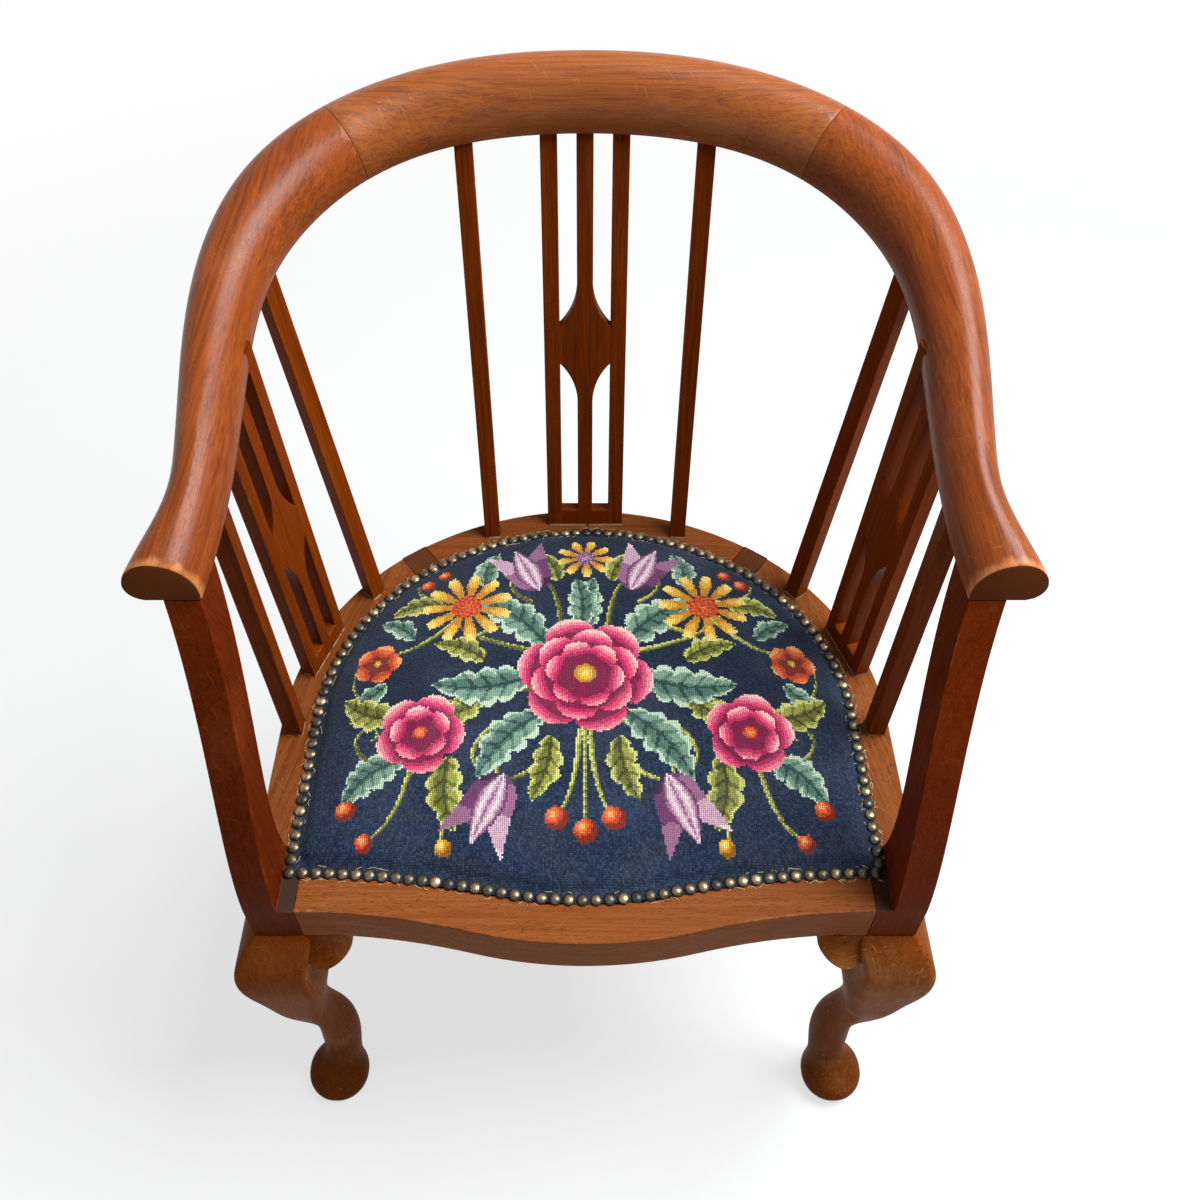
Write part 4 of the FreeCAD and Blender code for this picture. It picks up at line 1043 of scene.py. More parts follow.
@dataclass
class ShowWood:
    """The polished frame: top rail, uprights, posts, seat frame, legs and knee brackets.

    Args:
        frame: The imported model.
        arm_bevel: How far the ends of the arms are softened.
        splat_bevel: The arrises of the splats.
        spindle_bevel: The arrises of the spindles.
        post_bevel: The arrises of the arm posts.
        frame_bevel: The outer arris of the seat frame.
        front_bevel: The arrises of the front rail.
        leg_bevel: The arrises of the rear legs and the knee brackets.
        front_leg_bevel: The arrises of the cabriole legs.
        crest: The finish of the crest.
        arms: The finish of the arms.
        arm_ends: The sawn ends of the arms.
        uprights: The finish of splats and spindles.
        posts: The finish of the arm posts.
        frames: The finish of the seat frame.
        legs: The finish of legs and knee brackets.
    """

    frame: dict
    arm_bevel: float = 0.0016
    splat_bevel: float = 0.0009
    spindle_bevel: float = 0.0011
    post_bevel: float = 0.0012
    frame_bevel: float = 0.0015
    front_bevel: float = 0.0018
    leg_bevel: float = 0.0014
    front_leg_bevel: float = 0.001
    crest: Mahogany = Mahogany(
        dark=linear(88, 37, 5),
        middle=linear(146, 73, 11),
        light=linear(178, 101, 28),
        worn=linear(216, 146, 88),
        rough=0.38,
        pores=0.5,
        scuffs=0.13,
        edge_wear=0.7,
        shine=0.3,
        seam=0.5,
    )
    arms: Mahogany = Mahogany(
        dark=linear(83, 32, 5),
        middle=linear(140, 64, 11),
        light=linear(172, 94, 28),
        worn=linear(212, 136, 80),
        rough=0.36,
        pores=0.45,
        scuffs=0.14,
        edge_wear=0.8,
        shine=0.17,
        seam=0.5,
        end_wear=0.7,
    )
    arm_ends: Mahogany = Mahogany(
        dark=linear(52, 23, 9),
        middle=linear(84, 41, 17),
        light=linear(106, 57, 27),
        worn=linear(172, 104, 60),
        rough=0.6,
        pores=0.5,
        scuffs=0.3,
        edge_wear=0.0,
        end_grain=linear(104, 54, 25),
        shine=0.01,
    )
    uprights: Mahogany = Mahogany(
        dark=linear(76, 28, 2),
        middle=linear(114, 46, 4),
        light=linear(139, 64, 12),
        worn=linear(180, 100, 46),
        rough=0.46,
        pores=0.4,
        scuffs=0.06,
        edge_wear=0.3,
        wax=0.75,
        end_grain=linear(108, 49, 11),
        shine=0.025,
    )
    posts: Mahogany = Mahogany(
        dark=linear(66, 21, 2),
        middle=linear(99, 34, 4),
        light=linear(125, 51, 11),
        worn=linear(190, 104, 56),
        rough=0.42,
        pores=0.7,
        scuffs=0.12,
        edge_wear=0.18,
        end_grain=linear(58, 45, 38),
        shine=0.02,
    )
    frames: Mahogany = Mahogany(
        dark=linear(88, 43, 17),
        middle=linear(127, 68, 30),
        light=linear(152, 89, 46),
        worn=linear(196, 126, 92),
        rough=0.46,
        pores=0.9,
        scuffs=0.16,
        edge_wear=0.4,
        shine=0.03,
    )
    legs: Mahogany = Mahogany(
        dark=linear(80, 35, 8),
        middle=linear(118, 58, 16),
        light=linear(145, 79, 27),
        worn=linear(194, 138, 84),
        rough=0.4,
        pores=0.4,
        scuffs=0.45,
        edge_wear=0.3,
        end_grain=linear(80, 45, 26),
        # Painted shade towards the floor.
        floor_shade=0.4,
        shine=0.01,
    )

    def pieces(self) -> Iterator[WoodPiece]:
        """List the pieces of the show wood, in the order that their figures are drawn.

        Yields:
            Every piece.
        """
        crest = self.crest.material("mahogany_crest")
        arms = self.arms.material("mahogany_arms")
        ends = self.arm_ends.material("mahogany_arm_ends")
        uprights = self.uprights.material("mahogany_uprights")
        posts = self.posts.material("mahogany_posts")
        frames = self.frames.material("mahogany_seat_frame")
        legs = self.legs.material("mahogany_legs")
        yield WoodPiece("crest_rail", crest, self.arm_bevel, Grain.ACROSS, self.on_arm_end, True)
        for side in ("left", "right"):
            arm = WoodPiece(f"arm_rail_{side}", arms, self.arm_bevel, Grain.LENGTH, self.on_arm_end, True)
            yield replace(arm, cut=self.arm_end, ends=ends)
            yield WoodPiece(f"arm_post_{side}", posts, self.post_bevel, Grain.UPRIGHT, cut=self.frame_top)
            yield WoodPiece(f"side_splat_{side}", uprights, self.splat_bevel, cut=self.under_rail)
            for spindle in ("back_spindle", "rear_side_spindle", "front_side_spindle"):
                yield WoodPiece(f"{spindle}_{side}", uprights, self.spindle_bevel)
            yield WoodPiece(f"seat_rail_{side}", frames, self.frame_bevel, Grain.LENGTH, self.on_outer_edge)
            leg = WoodPiece(f"rear_leg_{side}", legs, self.leg_bevel, Grain.UPRIGHT, self.under_frame)
            yield replace(leg, cut=self.frame_top)
            name = f"front_leg_{side}"
            yield WoodPiece(name, legs, self.front_leg_bevel, Grain.UPRIGHT, self.under_frame, True)
            yield WoodPiece(f"front_ear_{side}", legs, self.leg_bevel, Grain.UPRIGHT)
            yield WoodPiece(f"side_ear_{side}", legs, self.leg_bevel, Grain.UPRIGHT)
        yield WoodPiece("back_splat", uprights, self.splat_bevel)
        yield WoodPiece("seat_rail_front", frames, self.front_bevel, Grain.ACROSS, self.on_front)
        yield WoodPiece("seat_rail_back", frames, self.frame_bevel, Grain.ACROSS, self.on_outer_edge)

    @staticmethod
    def on_arm_end(middles: np.ndarray) -> np.ndarray:
        """Say which edges are at the end of an arm."""
        return middles[:, 1] < ARM_END_ZONE

    @staticmethod
    def on_front(middles: np.ndarray) -> np.ndarray:
        """Say which edges bound the front of the seat frame."""
        return middles[:, 1] < PLAN.front + 0.0005

    @staticmethod
    def on_outer_edge(middles: np.ndarray) -> np.ndarray:
        """Say which edges lie on the outer arris of the seat frame."""
        return np.abs(PLAN.depth(middles[:, :2])) < 0.001

    @staticmethod
    def under_frame(middles: np.ndarray) -> np.ndarray:
        """Say which edges are under the seat frame."""
        return middles[:, 2] < SEAT_FLOOR - 0.002

    @staticmethod
    def arm_end(middles: np.ndarray, normals: np.ndarray) -> np.ndarray:
        """Say which faces are the sawn end of an arm."""
        return (middles[:, 1] < ARM_END_ZONE) & (normals[:, 1] < -0.75)

    @staticmethod
    def frame_top(middles: np.ndarray, normals: np.ndarray) -> np.ndarray:
        """Say which faces lie level with the top of the seat frame."""
        return (np.abs(middles[:, 2] - SEAT_TOP) < 0.001) & (normals[:, 2] > 0.9)

    @staticmethod
    def under_rail(middles: np.ndarray, normals: np.ndarray) -> np.ndarray:
        """Say which faces are the upper end of an upright."""
        return (middles[:, 2] > middles[:, 2].max() - 0.02) & (normals[:, 2] > 0.7)

    def build(self) -> None:
        """Finish every piece."""
        pieces = list(self.pieces())
        surfaces: dict[str, BVHTree] = {}
        for piece in pieces:
            mesh = self.frame["nodes"][piece.node].data
            corners = [v.co for v in mesh.vertices]
            surfaces[piece.node] = BVHTree.FromPolygons(corners, [tuple(f.vertices) for f in mesh.polygons])
        for seed, piece in enumerate(pieces):
            piece.build(self.frame, surfaces, seed)


@dataclass(frozen=True)
class Wool:
    """The shades of one wool, from dark to light."""

    shades: tuple[Colour, ...]

    @classmethod
    def dyed(cls, *shades: Colour) -> "Wool":
        """Return a wool from shades given as 0 to 255."""
        return cls(tuple(linear(*shade) for shade in shades))

    def at(self, share: float) -> Colour:
        """Return the shade at a share from 0, dark, to 1, light."""
        place = min(max(share, 0.0), 0.999) * len(self.shades)
        return self.shades[int(place)]


PINK = Wool.dyed((120, 26, 62), (178, 42, 88), (214, 76, 112), (234, 132, 146), (240, 190, 186))
GOLD = Wool.dyed((140, 88, 24), (190, 130, 38), (222, 170, 62), (238, 208, 112))
PLUM = Wool.dyed((66, 32, 66), (104, 58, 96), (148, 100, 132), (196, 160, 178), (222, 202, 206))
SAGE = Wool.dyed((40, 68, 60), (80, 112, 98), (122, 152, 130), (186, 208, 182))
OLIVE = Wool.dyed((62, 66, 28), (104, 106, 44), (150, 152, 70), (198, 202, 118))
EMBER = Wool.dyed((120, 36, 18), (186, 66, 30), (222, 104, 48), (240, 160, 96))
NAVY = Wool.dyed((20, 29, 47), (25, 36, 56), (31, 44, 66), (41, 56, 80))


@dataclass(frozen=True)
class Motif:
    """A shape in the picture on the seat, by its place."""

    x: float
    y: float

    def colour(self, x: float, y: float) -> Colour | None:
        """Return the colour of the stitch at a place, or None beside the shape."""
        raise NotImplementedError

    def round_from(self, x: float, y: float) -> Point:
        """Return how far a place lies from the middle of the shape, and at which angle."""
        across, along = x - self.x, y - self.y
        return math.hypot(across, along), math.atan2(along, across)

    def ahead_from(self, x: float, y: float, heading: float) -> Point:
        """Return how far a place lies ahead of the shape's start, and how far to the left.

        Args:
            x: The place across the seat.
            y: The place from front to back.
            heading: The way that the shape points.

        Returns:
            Both distances.
        """
        across, along = x - self.x, y - self.y
        lead = across * math.cos(heading) + along * math.sin(heading)
        side = -across * math.sin(heading) + along * math.cos(heading)
        return lead, side


@dataclass(frozen=True)
class Rosette(Motif):
    """A full flower of overlapping petals."""

    radius: float
    wool: Wool
    heart: Wool
    petals: int = 6
    rounds: int = 3
    turn: float = 0.0

    def colour(self, x: float, y: float) -> Colour | None:
        """Stitch the flower.

        Args:
            x: The place across the seat.
            y: The place from front to back.

        Returns:
            The colour of the stitch, or None beside the flower.
        """
        far, angle = self.round_from(x, y)
        far /= self.radius
        angle += self.turn
        if far > 1.0:
            return None
        if far < 0.16:
            return self.heart.at(0.95 - far * 4.0)
        for ring in range(self.rounds):
            outer = 0.36 + 0.64 * (ring + 1) / self.rounds
            wave = abs(math.cos((angle + ring * math.pi / self.petals) * self.petals / 2))
            edge = outer * (0.76 + 0.24 * wave**0.6)
            if far <= edge:
                rim = (edge - far) / (0.64 / self.rounds)
                return self.wool.at(0.95 - rim * 0.75 - (1 - wave) * 0.55 + 0.12 * math.sin(angle))
        return None


@dataclass(frozen=True)
class Daisy(Motif):
    """A flat flower with a ring of narrow petals round a disc."""

    radius: float
    wool: Wool
    heart: Wool
    petals: int = 11
    turn: float = 0.0

    def colour(self, x: float, y: float) -> Colour | None:
        """Stitch the flower.

        Args:
            x: The place across the seat.
            y: The place from front to back.

        Returns:
            The colour of the stitch, or None beside the flower.
        """
        far, angle = self.round_from(x, y)
        far /= self.radius
        angle += self.turn
        if far > 1.0:
            return None
        if far < 0.34:
            seeds = 0.5 + 0.5 * math.sin(far * 46) * math.cos(angle * 9)
            return self.heart.at(0.2 + 0.6 * seeds * (1 - far))
        wave = math.cos(angle * self.petals)
        width = -0.55 + 1.2 * max(far - 0.72, 0) * 3.2
        if wave < width:
            return None
        return self.wool.at(0.25 + 0.75 * (far - 0.34) / 0.66 * (0.6 + 0.4 * wave))


@dataclass(frozen=True)
class Tulip(Motif):
    """A cup of three pointed petals, seen from the side."""

    length: float
    width: float
    heading: float
    wool: Wool

    def colour(self, x: float, y: float) -> Colour | None:
        """Stitch the flower.

        Args:
            x: The place across the seat.
            y: The place from front to back.

        Returns:
            The colour of the stitch, or None beside the flower.
        """
        lead, side = self.ahead_from(x, y, self.heading)
        lead /= self.length
        side /= self.width
        if not 0.0 <= lead <= 1.0 or abs(side) > 1.0:
            return None
        middle = 0.5 * math.sin(math.pi * min(lead, 1.0) ** 0.8)
        if abs(side) < middle * 0.9:
            return self.wool.at(0.95 - 1.3 * abs(abs(side) - middle * 0.35) / max(middle, 0.1))
        cup = 0.55 + 0.45 * lead if lead > 0.2 else math.sqrt(lead / 0.2) * 0.64
        notch = 0.62 + 0.4 * abs(side)
        if abs(side) <= cup and lead <= notch:
            return self.wool.at(0.1 + 0.5 * lead + 0.25 * (side > 0))
        return None


@dataclass(frozen=True)
class Leaf(Motif):
    """A toothed leaf along a bent rib."""

    length: float
    width: float
    heading: float
    bend: float
    wool: Wool
    teeth: int = 5

    def colour(self, x: float, y: float) -> Colour | None:
        """Stitch the leaf.

        Args:
            x: The place across the seat.
            y: The place from front to back.

        Returns:
            The colour of the stitch, or None beside the leaf.
        """
        lead, side = self.ahead_from(x, y, self.heading)
        lead /= self.length
        if not 0.0 <= lead <= 1.0:
            return None
        side = (side - self.bend * math.sin(math.pi * lead)) / self.width
        tooth = 0.66 + 0.34 * abs(math.sin(math.pi * (lead * self.teeth + 0.25 * abs(side)))) ** 0.7
        edge = math.sin(math.pi * lead**0.8) ** 0.8 * tooth
        if abs(side) > edge:
            return None
        if abs(side) < 0.09 * (1.2 - lead):
            return self.wool.at(0.0)
        vein = abs(((lead * self.teeth * 1.2 - abs(side) * 0.9) % 1.0) - 0.5)
        rim = (edge - abs(side)) / max(edge, 0.05)
        share = 0.72 - 0.5 * rim + 0.18 * (side > 0)
        if rim < 0.2:
            share += 0.3
        if vein < 0.12:
            share -= 0.25
        return self.wool.at(share)


@dataclass(frozen=True)
class Tendril:
    """A thin stem that curls up towards its tip."""

    start: Point
    heading: float
    length: float
    curl: float
    width: float
    wool: Wool
    steps: int = 40

    def line(self) -> np.ndarray:
        """Draw the stem.

        Returns:
            The points that it follows.
        """
        points = [self.start]
        heading = self.heading
        for step in range(self.steps):
            heading += self.curl * (0.25 + 3.0 * (step / self.steps) ** 2.2) / self.steps
            x, y = points[-1]
            x += math.cos(heading) * self.length / self.steps
            y += math.sin(heading) * self.length / self.steps
            points.append((x, y))
        return np.array(points)

    def cells(self) -> dict[Cell, Colour]:
        """Stitch the stem.

        Returns:
            The colours of the stitches that it covers, by their places on the grid.
        """
        found: dict[Cell, Colour] = {}
        line = self.line()
        for number, (x, y) in enumerate(line):
            width = self.width * (1.0 - 0.55 * number / len(line))
            reach = math.ceil(width / STITCH) + 1
            column, row = math.floor(x / STITCH), math.floor(y / STITCH)
            for i in range(column - reach, column + reach + 1):
                for j in range(row - reach, row + reach + 1):
                    across, along = (i + 0.5) * STITCH - x, (j + 0.5) * STITCH - y
                    if math.hypot(across, along) <= width:
                        found[(i, j)] = self.wool.at(0.5 + 0.5 * (along - across) / (1.5 * width))
        return found


@dataclass(frozen=True)
class Berry(Motif):
    """A round berry with a light spot."""

    radius: float
    wool: Wool

    def colour(self, x: float, y: float) -> Colour | None:
        """Stitch the berry.

        Args:
            x: The place across the seat.
            y: The place from front to back.

        Returns:
            The colour of the stitch, or None beside the berry.
        """
        far = math.hypot(x - self.x, y - self.y) / self.radius
        if far > 1.0:
            return None
        spot = math.hypot(x - self.x + 0.3 * self.radius, y - self.y - 0.35 * self.radius) / self.radius
        return self.wool.at(1.0 - spot * 0.85)


@dataclass
class Garland:
    """The picture on the seat: a wreath of garden flowers round a full rosette.

    Args:
        shapes: Its flowers, berries and leaves, those on top first.
        under: The stitches of the stems, which lie under them.
        waver: How far a stitch may stray from the drawn line.
    """

    shapes: list[Motif] = field(default_factory=list)
    under: dict[Cell, Colour] = field(default_factory=dict)
    waver: float = 0.0003

    def __post_init__(self) -> None:
        """Lay the whole picture."""
        self.flowers()
        self.leaves()
        self.stems()

    def flowers(self) -> None:
        """Lay the flowers and berries, which cover the rest."""
        self.shapes.append(Rosette(0.0, -0.05, 0.06, PINK, GOLD, 6, 3, 0.2))
        self.shapes.append(Daisy(0.0, 0.088, 0.027, GOLD, PLUM, 9, 0.1))
        for side in (-1, 1):
            self.shapes += [
                Daisy(side * 0.108, 0.026, 0.041, GOLD, EMBER, 11, 0.3 * side),
                Rosette(side * 0.138, -0.108, 0.038, PINK, EMBER, 5, 2, 0.5 * side),
                Tulip(side * 0.042, 0.044, 0.064, 0.028, math.pi / 2 - side * 0.42, PLUM),
                Tulip(side * 0.066, -0.146, 0.062, 0.028, -math.pi / 2 + side * 0.42, PLUM),
                Rosette(side * 0.183, -0.034, 0.021, EMBER, GOLD, 5, 1, 0.0),
                Berry(side * 0.023, -0.183, 0.0095, EMBER),
                Berry(side * 0.147, 0.058, 0.0072, EMBER),
                Berry(side * 0.132, 0.07, 0.0066, EMBER),
                Berry(side * 0.192, -0.176, 0.0085, EMBER),
                Berry(side * 0.175, -0.201, 0.007, EMBER),
                Berry(side * 0.112, -0.205, 0.007, GOLD),
            ]
        self.shapes.append(Berry(0.0, -0.193, 0.0095, EMBER))

    def leaves(self) -> None:
        """Lay the leaves, which lie over the stems."""
        for side in (-1, 1):
            for x, y, length, width, heading, bend, wool, teeth in (
                (0.034, -0.02, 0.086, 0.02, 0.66, 0.008, SAGE, 5),
                (0.045, -0.052, 0.088, 0.021, -0.1, -0.008, SAGE, 5),
                (0.034, -0.088, 0.084, 0.019, -0.85, 0.007, SAGE, 5),
                (0.004, 0.0, 0.06, 0.015, 1.5, 0.004, SAGE, 4),
                (0.13, 0.03, 0.048, 0.013, -0.2, 0.006, OLIVE, 4),
                (0.092, 0.05, 0.05, 0.013, 1.75, -0.005, SAGE, 4),
                (0.158, -0.094, 0.056, 0.016, 0.45, -0.006, OLIVE, 4),
                (0.15, -0.132, 0.062, 0.017, -0.72, 0.007, SAGE, 5),
                (0.112, -0.13, 0.064, 0.016, -1.7, 0.006, OLIVE, 4),
                (0.028, -0.112, 0.06, 0.014, -1.3, -0.004, OLIVE, 4),
                (0.024, 0.056, 0.045, 0.011, 1.1, 0.004, OLIVE, 3),
                (0.088, -0.036, 0.05, 0.013, 0.4, 0.005, OLIVE, 4),
                (0.086, -0.072, 0.05, 0.013, -0.5, -0.005, OLIVE, 4),
                (0.152, -0.01, 0.042, 0.011, 0.6, 0.004, SAGE, 3),
                (0.172, -0.058, 0.038, 0.011, -0.5, -0.004, SAGE, 3),
            ):
                turned = heading if side > 0 else math.pi - heading
                self.shapes.append(Leaf(side * x, y, length, width, turned, side * bend, wool, teeth))

    def stems(self) -> None:
        """Lay the stems and tendrils, which lie under all the rest."""
        for side in (-1, 1):
            for x, y, heading, length, curl, width in (
                (0.03, -0.03, 0.2, 0.105, 0.7, 0.0032),
                (0.04, -0.065, -0.1, 0.115, -0.55, 0.0032),
                (0.02, -0.01, 1.5, 0.075, -0.6, 0.0032),
                (0.03, -0.095, -0.6, 0.072, -0.9, 0.0032),
                (0.004, -0.108, -1.5, 0.078, 0.5, 0.003),
                (0.108, 0.03, 0.1, 0.06, 1.2, 0.003),
                (0.138, -0.108, 0.4, 0.1, 1.2, 0.003),
                (0.108, 0.02, -0.9, 0.1, 1.3, 0.003),
                (0.14, -0.115, -1.5, 0.1, 1.0, 0.003),
                (0.112, -0.16, -1.57, 0.044, 0.2, 0.0026),
                (0.0, -0.105, -1.57, 0.085, 0.0, 0.0026),
                (0.07, -0.1, -0.5, 0.075, -4.5, 0.0026),
                (0.075, 0.0, -0.2, 0.07, -4.5, 0.0026),
                (0.05, 0.03, 0.5, 0.062, 4.5, 0.0024),
                (0.16, -0.14, 0.2, 0.08, 4.8, 0.0026),
                (0.03, -0.13, -0.9, 0.09, 4.6, 0.0026),
            ):
                turned = heading if side > 0 else math.pi - heading
                stem = Tendril((side * x, y), turned, length, side * curl, width, OLIVE)
                self.under.update(stem.cells())

    def colour(self, x: float, y: float, chance: random.Random) -> Colour:
        """Choose the colour of a stitch.

        Args:
            x: The place across the seat.
            y: The place from front to back.
            chance: What its waver and its shade are drawn from.

        Returns:
            The colour.
        """
        near_x = x + chance.gauss(0, self.waver)
        near_y = y + chance.gauss(0, self.waver)
        # The navy ground is a shade lighter towards the front of the seat, as painted light; otherwise its
        # shades vary at random.
        ground_and_front_light = NAVY.at(chance.random() * 0.75 + 0.2 * (y < -0.1))
        for shape in self.shapes:
            found = shape.colour(near_x, near_y)
            if found is not None:
                return found
        return self.under.get((math.floor(x / STITCH), math.floor(y / STITCH)), ground_and_front_light)


@dataclass
class Seat:
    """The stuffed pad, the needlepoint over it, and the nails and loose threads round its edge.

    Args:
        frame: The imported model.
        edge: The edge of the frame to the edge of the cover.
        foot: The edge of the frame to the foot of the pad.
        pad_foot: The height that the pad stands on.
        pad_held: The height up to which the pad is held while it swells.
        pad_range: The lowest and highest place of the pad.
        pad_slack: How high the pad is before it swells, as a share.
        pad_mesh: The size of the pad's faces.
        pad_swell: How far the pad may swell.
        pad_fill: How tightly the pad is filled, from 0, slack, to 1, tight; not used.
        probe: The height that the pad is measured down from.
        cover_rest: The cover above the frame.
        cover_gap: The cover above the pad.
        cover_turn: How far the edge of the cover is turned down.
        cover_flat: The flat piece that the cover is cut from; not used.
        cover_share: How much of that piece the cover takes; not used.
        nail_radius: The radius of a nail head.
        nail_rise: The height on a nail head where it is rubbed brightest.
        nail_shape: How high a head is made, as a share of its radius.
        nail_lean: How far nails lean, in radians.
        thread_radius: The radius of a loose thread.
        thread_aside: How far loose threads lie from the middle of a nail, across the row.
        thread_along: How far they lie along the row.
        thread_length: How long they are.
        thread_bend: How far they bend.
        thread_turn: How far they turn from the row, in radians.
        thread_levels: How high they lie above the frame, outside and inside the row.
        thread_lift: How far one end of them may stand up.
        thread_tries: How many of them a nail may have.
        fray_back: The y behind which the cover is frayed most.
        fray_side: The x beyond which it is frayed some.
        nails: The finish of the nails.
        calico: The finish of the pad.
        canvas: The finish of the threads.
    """

    frame: dict
    edge: float = 0.0284
    foot: float = 0.0368
    pad_foot: float = 0.4254
    pad_held: float = 0.4285
    pad_range: Point = (0.4253, 0.4486)
    pad_slack: float = 0.86
    pad_mesh: float = 0.005
    pad_swell: float = 0.006
    pad_fill: float = 0.75
    probe: float = 0.6
    cover_rest: float = 0.0013
    cover_gap: float = 0.0017
    cover_turn: float = 0.0012
    cover_flat: Point = (0.47, 0.428)
    cover_share: float = 0.81
    nail_radius: float = 0.0051
    nail_rise: float = 0.003
    nail_shape: float = 0.6
    nail_lean: float = 0.07
    thread_radius: float = 0.0002
    thread_aside: Point = (0.0046, 0.0062)
    thread_along: float = 0.005
    thread_length: Point = (0.003, 0.008)
    thread_bend: float = 0.0009
    thread_turn: float = 0.5
    thread_levels: Point = (0.0003, 0.0019)
    thread_lift: float = 0.0012
    thread_tries: int = 4
    fray_back: float = 0.1
    fray_side: float = 0.12
    nails: AgedMetal = AgedMetal(linear(176, 156, 120), linear(44, 41, 41), 0.24)
    calico: PlainCloth = PlainCloth(linear(214, 204, 182))
    canvas: PlainCloth = PlainCloth(linear(214, 196, 154))

    def build(self) -> None:
        """Make every piece of the seat."""
        pad = self.pad()
        cover = self.needlepoint(pad)
        places = self.nail_places()
        self.nail_row(places)
        threads = self.threads(places)

    def pad(self) -> bpy.types.Object:
        """Make the pad, which swells from a slightly smaller form.

        Returns:
            The pad.
        """
        pad = copy_node(self.frame["nodes"]["seat_stuffing"], "seat_pad")
        for vertex in pad.data.vertices:
            vertex.co.z = self.pad_foot + (vertex.co.z - self.pad_foot) * self.pad_slack
        pad.data.remesh_voxel_size = self.pad_mesh
        only(pad)
        bpy.ops.object.voxel_remesh()
        before = np.array([v.co for v in pad.data.vertices])
        self.swell(pad)
        moved = np.array([v.co for v in pad.data.vertices]) - before
        far = np.linalg.norm(moved, axis=1)
        moved *= np.minimum(1.0, self.pad_swell / np.maximum(far, 1e-9))[:, None]
        after = before + moved
        after[:, 2] = np.clip(after[:, 2], *self.pad_range)
        for vertex, place in zip(pad.data.vertices, after):
            vertex.co = place
        LOG.info("seat pad: largest swell %.1f mm", far.max() * 1000)
        with editing(pad):
            bpy.ops.mesh.vertices_smooth(factor=0.5, repeat=4)
        bpy.ops.object.shade_smooth()
        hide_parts("seat_stuffing", "calico_cover")
        return finish_piece(pad, self.calico.material("calico"))

    def swell(self, pad: bpy.types.Object) -> None:
        """Blow the pad up with a cloth simulation, with its foot held.

        Args:
            pad: The pad.
        """
        held = pad.vertex_groups.new(name="held")
        held.add([v.index for v in pad.data.vertices if v.co.z < self.pad_held], 1.0, "REPLACE")
        cloth = pad.modifiers.new("Cloth", "CLOTH")
        cloth.settings.quality = 5
        cloth.settings.mass = 0.2
        cloth.settings.tension_stiffness = 18
        cloth.settings.compression_stiffness = 18
        cloth.settings.bending_stiffness = 2.5
        cloth.settings.use_pressure = True
        cloth.settings.uniform_pressure_force = 4.0
        cloth.settings.effector_weights.gravity = 0.0
        cloth.settings.vertex_group_mass = "held"
        cloth.collision_settings.use_collision = False
        for step in range(1, 21):
            bpy.context.scene.frame_set(step)
        bpy.ops.object.modifier_apply(modifier="Cloth")
        bpy.context.scene.frame_set(1)

    def heights(self, pad: bpy.types.Object, places: np.ndarray) -> np.ndarray:
        """Measure how high the cover has to lie.

        Args:
            pad: The pad under it.
            places: Places in plan, one to a row.

        Returns:
            The height over each place.
        """
        tree = BVHTree.FromObject(pad, bpy.context.evaluated_depsgraph_get())
        inside = PLAN.depth(places)
        levels = np.full(len(places), SEAT_TOP + self.cover_rest)
        for index, (x, y) in enumerate(places):
            if inside[index] > self.foot:
                hit = tree.ray_cast(Vector((x, y, self.probe)), Vector((0, 0, -1)))[0]
                if hit is not None:
                    levels[index] = max(levels[index], hit.z + self.cover_gap)
        return levels

    def needlepoint(self, pad: bpy.types.Object) -> bpy.types.Object:
        """Make the cover, one face to a stitch.

        Args:
            pad: The pad under it.

        Returns:
            The cover.
        """
        cover = self.canvas_sheet()
        self.draw_in(cover)
        points = points_of(cover).astype(float)
        points[:, 2] = self.eased(cover, self.heights(pad, points[:, :2]))
        cover.data.vertices.foreach_set("co", points.astype(np.float32).ravel())
        with editing(cover):
            bpy.ops.mesh.select_mode(type="EDGE")
            bpy.ops.mesh.select_all(action="DESELECT")
            bpy.ops.mesh.select_non_manifold()
            bpy.ops.mesh.extrude_edges_move(TRANSFORM_OT_translate={"value": (0, 0, -self.cover_turn)})
        self.stitch(cover)
        bpy.ops.object.shade_smooth_by_angle(angle=math.radians(60))
        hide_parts("needlepoint_cover")
        return finish_piece(cover, TentStitch(STITCH).material("needlepoint"))

    def canvas_sheet(self) -> bpy.types.Object:
        """Make a flat grid of stitches, without those that lie beyond the edge of the cover.

        Returns:
            The flat cover.
        """
        across = 2 * math.ceil((PLAN.half - self.edge) / STITCH)
        low = math.floor((PLAN.front - PLAN.bow) / STITCH)
        high = math.ceil((PLAN.back_y + PLAN.back) / STITCH)
        middle = (0, (low + high) / 2 * STITCH, 0)
        bpy.ops.object.select_all(action="DESELECT")
        bpy.ops.mesh.primitive_grid_add(
            x_subdivisions=across, y_subdivisions=high - low, size=2.0, location=middle
        )
        cover = bpy.context.view_layer.objects.active
        cover.scale = (across / 2 * STITCH, (high - low) / 2 * STITCH, 1.0)
        settle(cover, "needlepoint_seat")
        depth = PLAN.depth(points_of(cover)[:, :2].astype(float))
        shape = bmesh.new()
        shape.from_mesh(cover.data)
        shape.verts.ensure_lookup_table()
        spare = [v for v in shape.verts if depth[v.index] < self.edge - STITCH * 0.5]
        bmesh.ops.delete(shape, geom=spare, context="VERTS")
        shape.to_mesh(cover.data)
        shape.free()
        return cover

